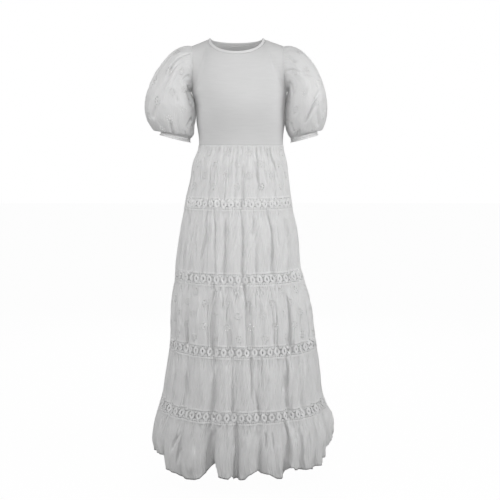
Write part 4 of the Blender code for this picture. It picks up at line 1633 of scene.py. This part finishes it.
@dataclass
class SleeveForm:
    """The form of a puff sleeve over an angle round the arm and a ring number along it."""

    hand: Hand
    inset: float = 0.3 * MM

    def ring(self, along: Array) -> list[Array]:
        """The five sizes of the ring at a place along the sleeve, by a smooth curve."""
        table = SLEEVE_RINGS[self.hand]
        return [through_rows(np.arange(len(table)), column, along) for column in table.T]

    def base(self, angle: Array, along: Array, inwards: Array) -> Array:
        """The sleeve's form, moved in from the ring square to it.

        A ring is an ellipse: its long axis runs between the outer and inner points, and its depth
        front to back. At the armhole it bends, towards the bodice it fills out, and the last one
        slants.

        Args:
            angle: angles round the arm.
            along: ring numbers, of the same shape.
            inwards: how many metres further in the points are.

        Returns:
            Points (x, y, z).
        """
        reach_out, drop_out, reach_in, drop_in, depth = self.ring(along)
        axis = np.stack([reach_out - reach_in, drop_in - drop_out], axis=-1)
        height = np.linalg.norm(axis, axis=-1) / 2
        axis = axis / (2 * height[..., None])
        square = unit(np.stack([np.cos(angle) / height, np.sin(angle) / depth], axis=-1))
        up = height * np.cos(angle) - inwards * square[..., 0]
        front = depth * np.sin(angle) - inwards * square[..., 1]
        bend = ARMHOLE_BEND * np.clip(1 - along / 2, 0, 1)
        reach = (reach_out + reach_in) / 2 + axis[..., 0] * up - bend * np.abs(front)
        fullness = np.array(SLEEVE_FULLNESS[self.hand]) * MM
        fullness = through_rows(np.arange(len(fullness)), fullness, along)
        reach = reach - fullness * bell((angle - np.pi) / FULLNESS_ANGLE)
        slant = CUFF_SLANT_MIDDLE + (1 - CUFF_SLANT_MIDDLE) * np.cos(angle)
        level = -(drop_out + drop_in) / 2 + axis[..., 1] * up
        level = level + CUFF_SLANT * smooth_step(along - LAST_RING + 1) * slant
        return np.stack([self.hand.value * reach, -front, level], axis=-1)

    def fold_depth(self, angle: Array, along: Array) -> Array:
        """Fourteen soft folds round the sleeve, cos^2 across each, as deep as the table says.

        Sines of the fold's number and of the angle make their places and depths uneven.

        Args:
            angle: angles round the arm.
            along: ring numbers, of the same shape.

        Returns:
            Depths in metres.
        """
        spacing = TURN / SLEEVE_FOLDS
        half_width = SLEEVE_FOLD_HALF_WIDTH * spacing
        depth = np.zeros_like(angle)
        for i in range(SLEEVE_FOLDS):
            sway = 0.10 * np.sin(0.9 * along + 2.1 * i)
            middle = (i + 0.25 * math.sin(1.7 * i)) * spacing + sway
            away = np.abs((angle - middle + np.pi) % TURN - np.pi)
            share = 1 - 0.20 * (1 - math.sin(2.3 * i))
            depth += share * np.cos(np.pi / 2 * np.clip(away / half_width, 0, 1)) ** 2
        rows = np.arange(len(SLEEVE_FOLD_DEPTHS))
        uneven = 0.26 + 0.18 * np.sin(2 * angle + 0.8 * along + self.hand.value)
        return (depth * uneven + 0.25) * through_rows(rows, SLEEVE_FOLD_DEPTHS, along)

    def creases(self, angle: Array, along: Array) -> Array:
        """Creases: -depth exp(-(d / width)^2), d the distance to the crease's line.

        Args:
            angle: angles round the arm.
            along: ring numbers, of the same shape.

        Returns:
            The lift of the cloth in metres.
        """
        lift = np.zeros_like(angle)
        here = np.stack([angle, along], axis=-1) * SLEEVE_CLOTH
        for depth, width, *line in SLEEVE_CREASES[self.hand] + BOTH_SLEEVES_CREASES:
            line = smooth_line(np.array(line)) * SLEEVE_CLOTH
            for turn in (0.0, TURN * SLEEVE_CLOTH[0]):
                away, run = line_distance(here, line + (turn, 0.0))
                if turn and away.min() > 4 * width * MM:
                    continue
                window = smooth_step(run / 0.25) * smooth_step((1 - run) / 0.25)
                deep = min(SLEEVE_CREASE_SCALE * depth, SLEEVE_CREASE_LIMIT * width) * MM
                lift -= deep * window * bell(away / (width * MM))
        return lift

    def gathers(self, angle: Array, along: Array) -> Array:
        """Small pleats at the sleeve head and above the elastic, each -a exp(-(d / w)^2).

        Args:
            angle: angles round the arm.
            along: ring numbers, of the same shape.

        Returns:
            The lift of the cloth in metres.
        """
        lift = np.zeros_like(angle)
        for end, longest, deep, below, above, seeds in SLEEVE_GATHERS:
            draw = np.random.default_rng(seeds[self.hand])
            middles = np.cumsum(draw.uniform(0.085, 0.15, 90))
            spread = np.sin(angle / 2) ** 2 if below > above else np.cos(angle / 2) ** 2
            spread = min(below, above) + (1 - min(below, above)) * spread
            away_from_end = np.abs(along - end)
            for middle in middles[middles < TURN - 0.05]:
                reach = draw.uniform(0.35, 1.0) * longest
                size = draw.uniform(0.5, 1.0) * deep * MM
                lean, wide = draw.normal(0, 0.05), draw.uniform(0.030, 0.050)
                run = np.clip(away_from_end / reach, 0, 1)
                away = (angle - middle - lean * run + np.pi) % TURN - np.pi
                shown = grown(0.3, away_from_end / 0.35) * (1 - smooth_step(run))
                lift -= size * spread * shown * bell(away / wide)
        return lift

    def surface(self, angle: Array, along: Array, lift: Array) -> Array:
        """The cloth with its folds, creases, gathers and crinkles.

        Args:
            angle: angles round the arm.
            along: ring numbers, of the same shape.
            lift: metres added outwards.

        Returns:
            Points (x, y, z).
        """
        relief = self.creases(angle, along) + self.gathers(angle, along)
        u, v = angle * SLEEVE_CLOTH[0], along * SLEEVE_CLOTH[1]
        blend = smooth_step(np.minimum(angle % TURN, TURN - angle % TURN) / SEAM_BLEND_ANGLE)
        crinkles = SLEEVE_CRINKLES.relief(u, v, SLEEVE_SEEDS[self.hand])
        relief = relief + SLEEVE_CRINKLE_DEPTH * crinkles * blend
        ends = smooth_step(along / 0.12) * smooth_step((LAST_RING - along) / 0.12)
        inwards = self.fold_depth(angle, along) + self.inset - relief * ends - lift
        return self.base(angle, along, inwards)


@dataclass
class Sleeve:
    """A puff sleeve with its elastic casing and frill.

    The cuff's levels below the sleeve, how far it swells there and how deep its pleats are, all
    in millimetres, run down the casing and the frill and up again inside it.
    """

    hand: Hand
    finishes: Wardrobe
    columns: int = 200
    rows: int = 78
    tuck: float = 1.6 * MM
    pleats: int = 34
    pleat_sides: int = 8
    cuff_levels: tuple[float, ...] = (
        0.3, 0.9, 2.0, 3.8, 5.6, 7.2, 7.9, 8.7, 9.8, 11.0, 12.3, 12.1, 11.2, 9.5,
    )
    cuff_swells: tuple[float, ...] = (
        0.0, 0.5, 1.1, 1.4, 1.1, 0.2, 0.2, 1.0, 2.2, 3.4, 4.2, 3.9, 3.0, 1.9,
    )
    cuff_pleats: tuple[float, ...] = (
        0.6, 0.9, 1.0, 1.0, 1.0, 1.3, 1.3, 1.5, 1.8, 2.2, 2.6, 2.6, 2.3, 1.9,
    )
    cuff_inset: float = 1.2 * MM
    cuff_start: float = 0.29

    def cloth(self) -> Item:
        """The puffed cloth from the armhole seam to the elastic, with its flowers.

        Returns:
            The piece.
        """
        form = SleeveForm(self.hand)
        angles, rings = np.linspace(0, TURN, self.columns + 1), np.linspace(0, LAST_RING, self.rows)
        sheet = np.stack(np.meshgrid(angles, rings), axis=-1) * SLEEVE_CLOTH
        spacing = TURN * SLEEVE_CLOTH[0] / SLEEVE_FLOWER_COLUMNS
        middles = [
            (SLEEVE_FLOWER_START + (k - 2) * spacing, level)
            for k in range(SLEEVE_FLOWER_COLUMNS)
            for level in SLEEVE_FLOWER_ROWS[k % 2]
        ]

        def surface(spots: Array, lift: Array) -> Array:
            """The points of the cloth, tucked under the bodice's edge.

            Args:
                spots: cloth coordinates.
                lift: metres added outwards.

            Returns:
                Points (x, y, z).
            """
            points = form.surface(*(spots / SLEEVE_CLOTH).T, lift)
            points[spots[:, 1] == 0, 0] -= self.hand.value * self.tuck
            return points

        net = pierced(sheet, flower_holes(np.array(middles)), surface, self.hand is Hand.RIGHT)
        node = f"sleeve_{self.hand.word}"
        piece = make_piece(f"{node}_cloth", net, self.finishes.cotton, node)
        return piece

    def cuff(self) -> Item:
        """The casing, shirred by its elastic, then a frill that opens out.

        Returns:
            The piece.
        """
        reach_out, drop_out, reach_in, drop_in, _ = SLEEVE_RINGS[self.hand][-1]
        axis = unit(np.array([reach_out - reach_in, drop_in - drop_out]))
        way = np.array([self.hand.value * axis[1], 0.0, -axis[0]])
        columns = self.pleats * self.pleat_sides
        angle = np.broadcast_to(np.arange(columns) * TURN / columns, (len(self.cuff_levels), columns))
        level, swell, pleat = (
            np.broadcast_to(np.array(sizes)[:, None] * MM, angle.shape)
            for sizes in (self.cuff_levels, self.cuff_swells, self.cuff_pleats)
        )
        sway = 0.9 * np.sin(3 * angle) + 0.7 * np.sin(7 * angle)
        wave = 0.5 + 0.5 * np.cos(self.pleats * angle + sway)
        inwards = self.cuff_inset - swell + pleat * wave * CUFF_PLEAT_SHARE
        points = SleeveForm(self.hand).base(angle, np.full_like(angle, LAST_RING), inwards)
        sheet = np.stack([angle * SLEEVE_CLOTH[0], self.cuff_start + level], axis=-1)
        net = Net.grid(points + level[..., None] * way, sheet, self.hand is Hand.RIGHT, wrap=True)
        node = f"cuff_{self.hand.word}"
        piece = make_piece(f"{node}_cloth", net, self.finishes.cotton, node)
        return piece

    def build(self) -> None:
        """Builds the sleeve and its cuff."""
        self.cloth()
        self.cuff()


# ---- The bodice

# The neckline's reach to each side and its level there, and its reach and fall in the middle
NECK_REACH = (0.0905, 0.0895)
NECK_SIDE_LEVEL = 0.003
NECK_SHAPE = {Half.FRONT: (0.074, 0.050), Half.BACK: (0.058, 0.014)}
# Which way the cloth faces there: outwards and upwards
NECK_SIDE_FACING = (0.60, 0.80)
NECK_MIDDLE_FACING = (0.94, 0.33)
NECK_SEAM = 0.15 * MM
ARMHOLE_FADE = 1.5
SHOULDER_SHARE = 0.125
SMOOTHING_PASSES = 14
SMOOTHING_SHARE = 0.5
BODICE_WIDTH = 0.38
BODICE_CLOTH_WIDTH = 0.45
SOFT_WAVES = 0.35 * MM
# Soft folds beside the armholes: the place, both drops, the depth and half width in millimetres
BODICE_CREASES = (
    (0.16, 0.03, 0.15, 0.3, 12.0),
    (0.10, 0.06, 0.18, 0.8, 8.0),
    (0.87, 0.02, 0.12, 0.5, 10.0),
    (0.92, 0.06, 0.17, 0.8, 8.0),
    (0.10, 0.16, 0.24, 1.0, 9.0),
    (0.88, 0.17, 0.26, 1.0, 9.0),
)


def neck_point(angle: Array, half: Half) -> Array:
    """The neckline seam as half an ellipse.

    Args:
        angle: 0 at the right neck point and pi at the left one.
        half: front or back.

    Returns:
        Points (x, y, z).
    """
    reach, fall = NECK_SHAPE[half]
    right, left = NECK_REACH
    x = (left - right) / 2 - (left + right) / 2 * np.cos(angle)
    sine = np.sin(angle)
    return np.stack([x, half.value * reach * sine, NECK_SIDE_LEVEL - fall * sine], axis=-1)


def neck_frame(angle: Array, half: Half) -> tuple[Array, Array]:
    """The neckline seam's frame, square to the seam.

    Args:
        angle: 0 at the right neck point and pi at the left one.
        half: front or back.

    Returns:
        The outward normals, and the directions up the cloth across the seam.
    """
    sideways, side_rise = NECK_SIDE_FACING
    forwards, middle_rise = NECK_MIDDLE_FACING
    cosine, sine = np.cos(angle), np.sin(angle)
    rise = side_rise * cosine**2 + middle_rise * sine**2
    lean = np.stack([-sideways * cosine, half.value * forwards * sine, rise], axis=-1)
    along = unit(neck_point(angle + FRAME_STEP, half) - neck_point(angle - FRAME_STEP, half))
    at_side = (np.abs(cosine) > 0.9999)[..., None]
    along = np.where(at_side, (0, half.value, 0), along)
    normal = unit(lean - (lean * along).sum(-1, keepdims=True) * along)
    up = np.cross(along, normal)
    return normal, up * np.sign(up[..., 2:3])


@dataclass
class Bodice:
    """The knit bodice panels."""

    finishes: Wardrobe
    neck_columns: int = 96
    shoulder_columns: int = 16
    lower_rows: int = 36
    upper_rows: int = 40
    inset: float = 0.3 * MM
    thickness: float = 1.0 * MM

    def armhole(self, hand: Hand, half: Half, rise: Array) -> Array:
        """The edge along the armhole seam.

        Args:
            hand: the sleeve's side.
            half: front or back.
            rise: 0 at the underarm and 1 at the shoulder.

        Returns:
            Points (x, y, z).
        """
        angle = np.pi * (1 - rise)
        points = SleeveForm(hand).base(angle, np.zeros_like(angle), np.zeros_like(angle))
        points[..., 1] = half.value * np.abs(points[..., 1])
        return points

    def top(self, half: Half) -> Array:
        """The upper edge: right shoulder seam, neckline, left shoulder seam.

        Args:
            half: front or back.

        Returns:
            Points (x, y, z), one for each column.
        """
        angles = np.linspace(0, np.pi, self.neck_columns + 1)
        _, up = neck_frame(angles, half)
        neckline = neck_point(angles, half) - up * NECK_SEAM
        right, left = (self.armhole(hand, half, np.ones(1)) for hand in Hand)
        steps = np.linspace(0, 1, self.shoulder_columns + 1)[:-1, None]
        rights, lefts = right + (neckline[0] - right) * steps, left + (neckline[-1] - left) * steps
        return np.concatenate([rights, neckline, lefts[::-1]])

    def places(self) -> Array:
        """The share of the width at each column: shoulders an eighth each, the neck the rest."""
        shoulder = np.linspace(0, SHOULDER_SHARE, self.shoulder_columns + 1)[:-1]
        neck = np.linspace(SHOULDER_SHARE, 1 - SHOULDER_SHARE, self.neck_columns + 1)
        return np.concatenate([shoulder, neck, 1 - shoulder[::-1]])

    def form(self, half: Half) -> Array:
        """The panel's form, from the waist seam up to the shoulders and the neckline.

        Below the underarm it follows the sections. Above it, each column runs straight to the
        upper edge, and each row is drawn out to the armhole seams with (1 - 2 p)^1.5. Then the
        grid is smoothed, each point towards the mean of its neighbours.

        Args:
            half: front or back.

        Returns:
            Rows by columns of points (x, y, z).
        """
        places = self.places()
        lower = np.linspace(WAIST_DROP, UNDERARM_DROP, self.lower_rows + 1)
        drop, place = np.meshgrid(lower, places, indexing="ij")
        rows = np.concatenate([SkirtForm(half).plan(place, drop), -drop[..., None]], axis=-1)
        chest, top = rows[-1], self.top(half)
        rise = (np.arange(self.upper_rows) + 1)[:, None, None] / self.upper_rows
        upper = chest[None] + (top - chest)[None] * rise
        for end, hand, side in ((0, Hand.RIGHT, 1 - 2 * places), (-1, Hand.LEFT, 2 * places - 1)):
            share = np.clip(side, 0, 1) ** ARMHOLE_FADE
            edge = self.armhole(hand, half, rise[:, 0, 0])
            straight = chest[end] + (top[end] - chest[end]) * rise[:, 0]
            upper = upper + share[None, :, None] * (edge - straight)[:, None]
        grid = np.concatenate([rows, upper])
        inner = grid[1:-1, 1:-1]
        for _ in range(SMOOTHING_PASSES):
            mean = (grid[:-2, 1:-1] + grid[2:, 1:-1] + grid[1:-1, :-2] + grid[1:-1, 2:]) / 4
            inner += SMOOTHING_SHARE * (mean - inner)
        grid[..., 1] = half.value * np.maximum(half.value * grid[..., 1], NECK_SEAM)
        return grid

    def normals(self, grid: Array, half: Half) -> Array:
        """Outward normals: the cross product of the slopes across and up."""
        outward = unit(np.cross(np.gradient(grid, axis=1), np.gradient(grid, axis=0)))
        return outward * np.sign((outward[..., 1] * half.value).sum())

    def panel(self, half: Half) -> Item:
        """One knit panel, with soft waves and folds that fade out at its edges.

        Args:
            half: front or back.

        Returns:
            The piece.
        """
        grid = self.form(half)
        places = np.broadcast_to(self.places(), grid.shape[:2])
        drop = -grid[..., 2]
        rows = np.arange(len(grid))[:, None]
        edge = smooth_step(np.minimum(places, 1 - places) / 0.05)
        edge = edge * smooth_step(rows / 4) * smooth_step((len(grid) - 1 - rows) / 4)
        waves = np.sin(places * 11 + 2 * half.value) * np.sin(drop * 23 + places * 5)
        lift = SOFT_WAVES * waves * edge
        for place, first, last, depth, width in BODICE_CREASES:
            window = smooth_step((drop - first) / 0.03) * smooth_step((last - drop) / 0.04)
            trough = bell((places - place) * BODICE_WIDTH / (width * MM))
            lift = lift - depth * MM * window * trough * edge
        points = grid + self.normals(grid, half) * (lift - self.inset)[..., None]
        sheet = np.stack([places * BODICE_CLOTH_WIDTH, drop], axis=-1)
        net = Net.grid(points, sheet, half is Half.BACK)
        node = f"bodice_{half.word}"
        piece = make_piece(f"{node}_knit", net, self.finishes.knit, node)
        thickness = piece.modifiers.new("thickness", "SOLIDIFY")
        thickness.thickness, thickness.offset = self.thickness, -1.0
        thickness.use_even_offset = False
        net.area()
        return piece

    def build(self) -> None:
        """Builds both panels."""
        for half in Half:
            self.panel(half)


@dataclass
class NeckBand:
    """The rib strip round the neckline seam, of a rounded closed section."""

    finishes: Wardrobe
    columns: int = 420
    section_sides: int = 16
    squareness: float = 0.6
    height: float = 8.5 * MM
    half_depth: float = 1.0 * MM
    inset: float = 1.1 * MM
    ribs: int = 105
    rib_height: float = 0.16 * MM

    def build(self) -> Item:
        """Carries the section round the seam, with its ribs on the outside.

        Returns:
            The piece.
        """
        turn = np.arange(self.columns) * TURN / self.columns
        front = turn < np.pi
        angle = np.where(front, turn, TURN - turn)
        halves = [(neck_point(angle, half), *neck_frame(angle, half)) for half in Half]
        base, normal, up = (np.where(front[:, None], *pair) for pair in zip(*halves))
        section = circle(self.section_sides)
        c, s = (np.sign(section) * np.abs(section) ** self.squareness).T
        height = NECK_SEAM + self.height * (0.5 + 0.5 * c)
        ribs = self.rib_height * np.cos(turn * self.ribs)[:, None] * np.clip(section[:, 1], 0, 1)[None]
        depth = (self.half_depth * s - self.inset)[None] + ribs
        points = base[:, None] + up[:, None] * height[None, :, None]
        points = points + normal[:, None] * depth[..., None]
        length = running_length(base)
        sheet = np.stack(np.broadcast_arrays(length[:, None], height[None]), axis=-1)
        number = np.arange(depth.size).reshape(depth.shape)
        ahead, beside = np.roll(number, -1, axis=0), np.roll(number, -1, axis=1)
        quads = np.stack([number, ahead, np.roll(ahead, -1, axis=1), beside], axis=-1).reshape(-1, 4)
        net = Net(points.reshape(-1, 3), sheet.reshape(-1, 2), [quads])
        piece = make_piece("neck_band_rib", net, self.finishes.rib, "neck_band")
        return piece


# ---- The studio


@dataclass
class Studio:
    """The camera, the pale floor and the soft light.

    Each lamp has its place, its size and its power in watts.
    """

    camera_at: Place = (0.0422, -3.2086, -0.3105)
    pitch: float = math.pi / 2 - 0.11147
    sensor: float = 36.0
    lens: float = 71.527
    clip: tuple[float, float] = (0.05, 60.0)
    floor_level: float = -1.42
    floor_reach: float = 14.0
    floor_tone: float = 0.25
    floor_glow: float = 1.04
    floor_share: float = 0.94
    surround_light: float = 0.21
    aim: Place = (0.0, 0.0, -0.6)
    lamps: tuple[tuple[str, Place, float, float], ...] = (
        ("key", (0.15, -1.75, 0.35), 0.9, 15.5),
        ("left", (-2.00, -1.10, 0.15), 1.2, 26.5),
        ("right", (2.05, -1.10, 0.15), 1.2, 33.5),
        ("back", (0.0, 2.6, 0.3), 1.6, 50.0),
    )

    def camera(self) -> None:
        """The camera in front of the dress, a little above its middle."""
        data = bpy.data.cameras.new("camera")
        data.sensor_width, data.lens = self.sensor, self.lens
        data.clip_start, data.clip_end = self.clip
        item = add_item("camera", data)
        item.location, item.rotation_euler = self.camera_at, (self.pitch, 0.0, 0.0)
        bpy.context.scene.camera = item

    def shown(self, tree: Tree, out: str, lit: Node, seen: Node, share: float) -> None:
        """Gives a tree one shader for light and another one for the camera.

        Args:
            tree: the material's or the world's node tree.
            out: its output node's name.
            lit: the shader that light meets.
            seen: the shader that the camera sees.
            share: how much of it the camera sees.
        """
        path = add_node(tree, "ShaderNodeLightPath")
        blend = add_node(
            tree,
            "ShaderNodeMixShader",
            in_0=maths(tree, "MULTIPLY", path.outputs["Is Camera Ray"], share),
            in_1=lit.outputs[0],
            in_2=seen.outputs[0],
        )
        tree.links.new(blend.outputs[0], tree.nodes[out].inputs["Surface"])

    def floor(self) -> None:
        """A plain white floor under the dress."""
        mesh = bpy.data.meshes.new("floor")
        signs = ((-1, -1), (1, -1), (1, 1), (-1, 1))
        corners = [(x * self.floor_reach, y * self.floor_reach, self.floor_level) for x, y in signs]
        mesh.from_pydata(corners, [], [(0, 1, 2, 3)])
        material = bpy.data.materials.new("studio_floor")
        material.use_nodes = True
        tree = material.node_tree
        shader = tree.nodes["Principled BSDF"]
        shader.inputs["Base Color"].default_value = grey(self.floor_tone)
        shader.inputs["Roughness"].default_value = 0.9
        glow = add_node(tree, "ShaderNodeEmission", in_Strength=self.floor_glow)
        self.shown(tree, "Material Output", shader, glow, self.floor_share)
        mesh.materials.append(material)
        add_item("floor", mesh)

    def surround(self) -> None:
        """A surround that looks white and lights the dress softly."""
        world = bpy.data.worlds.new("studio")
        world.use_nodes = True
        tree = world.node_tree
        light = tree.nodes["Background"]
        light.inputs["Color"].default_value = grey(1.0)
        light.inputs["Strength"].default_value = self.surround_light
        white = add_node(tree, "ShaderNodeBackground", in_Color=grey(1.0), in_Strength=1.0)
        self.shown(tree, "World Output", light, white, 1.0)
        bpy.context.scene.world = world

    def lamp(self, name: str, at: Place, size: float, power: float) -> None:
        """A square soft light that looks at the middle of the dress.

        Args:
            name: its name.
            at: its place.
            size: its side in metres.
            power: its power in watts.
        """
        data = bpy.data.lights.new(name, "AREA")
        data.shape, data.size, data.energy = "SQUARE", size, power
        item = add_item(name, data)
        item.visible_camera = False
        item.location = at
        item.rotation_mode = "QUATERNION"
        item.rotation_quaternion = (Vector(at) - Vector(self.aim)).to_track_quat("Z", "Y")

    def build(self) -> None:
        """Sets the camera, the floor, the white surround and the lights."""
        self.camera()
        self.floor()
        self.surround()
        bpy.context.scene.view_settings.view_transform = "Standard"
        for lamp in self.lamps:
            self.lamp(*lamp)


def main() -> None:
    """Builds the dress and its studio."""
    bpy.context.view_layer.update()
    finishes = Wardrobe()
    Skirt(finishes).build()
    for hand in Hand:
        Sleeve(hand, finishes).build()
    Bodice(finishes).build()
    NeckBand(finishes).build()
    Studio().build()


if __name__ == "__main__":
    main()
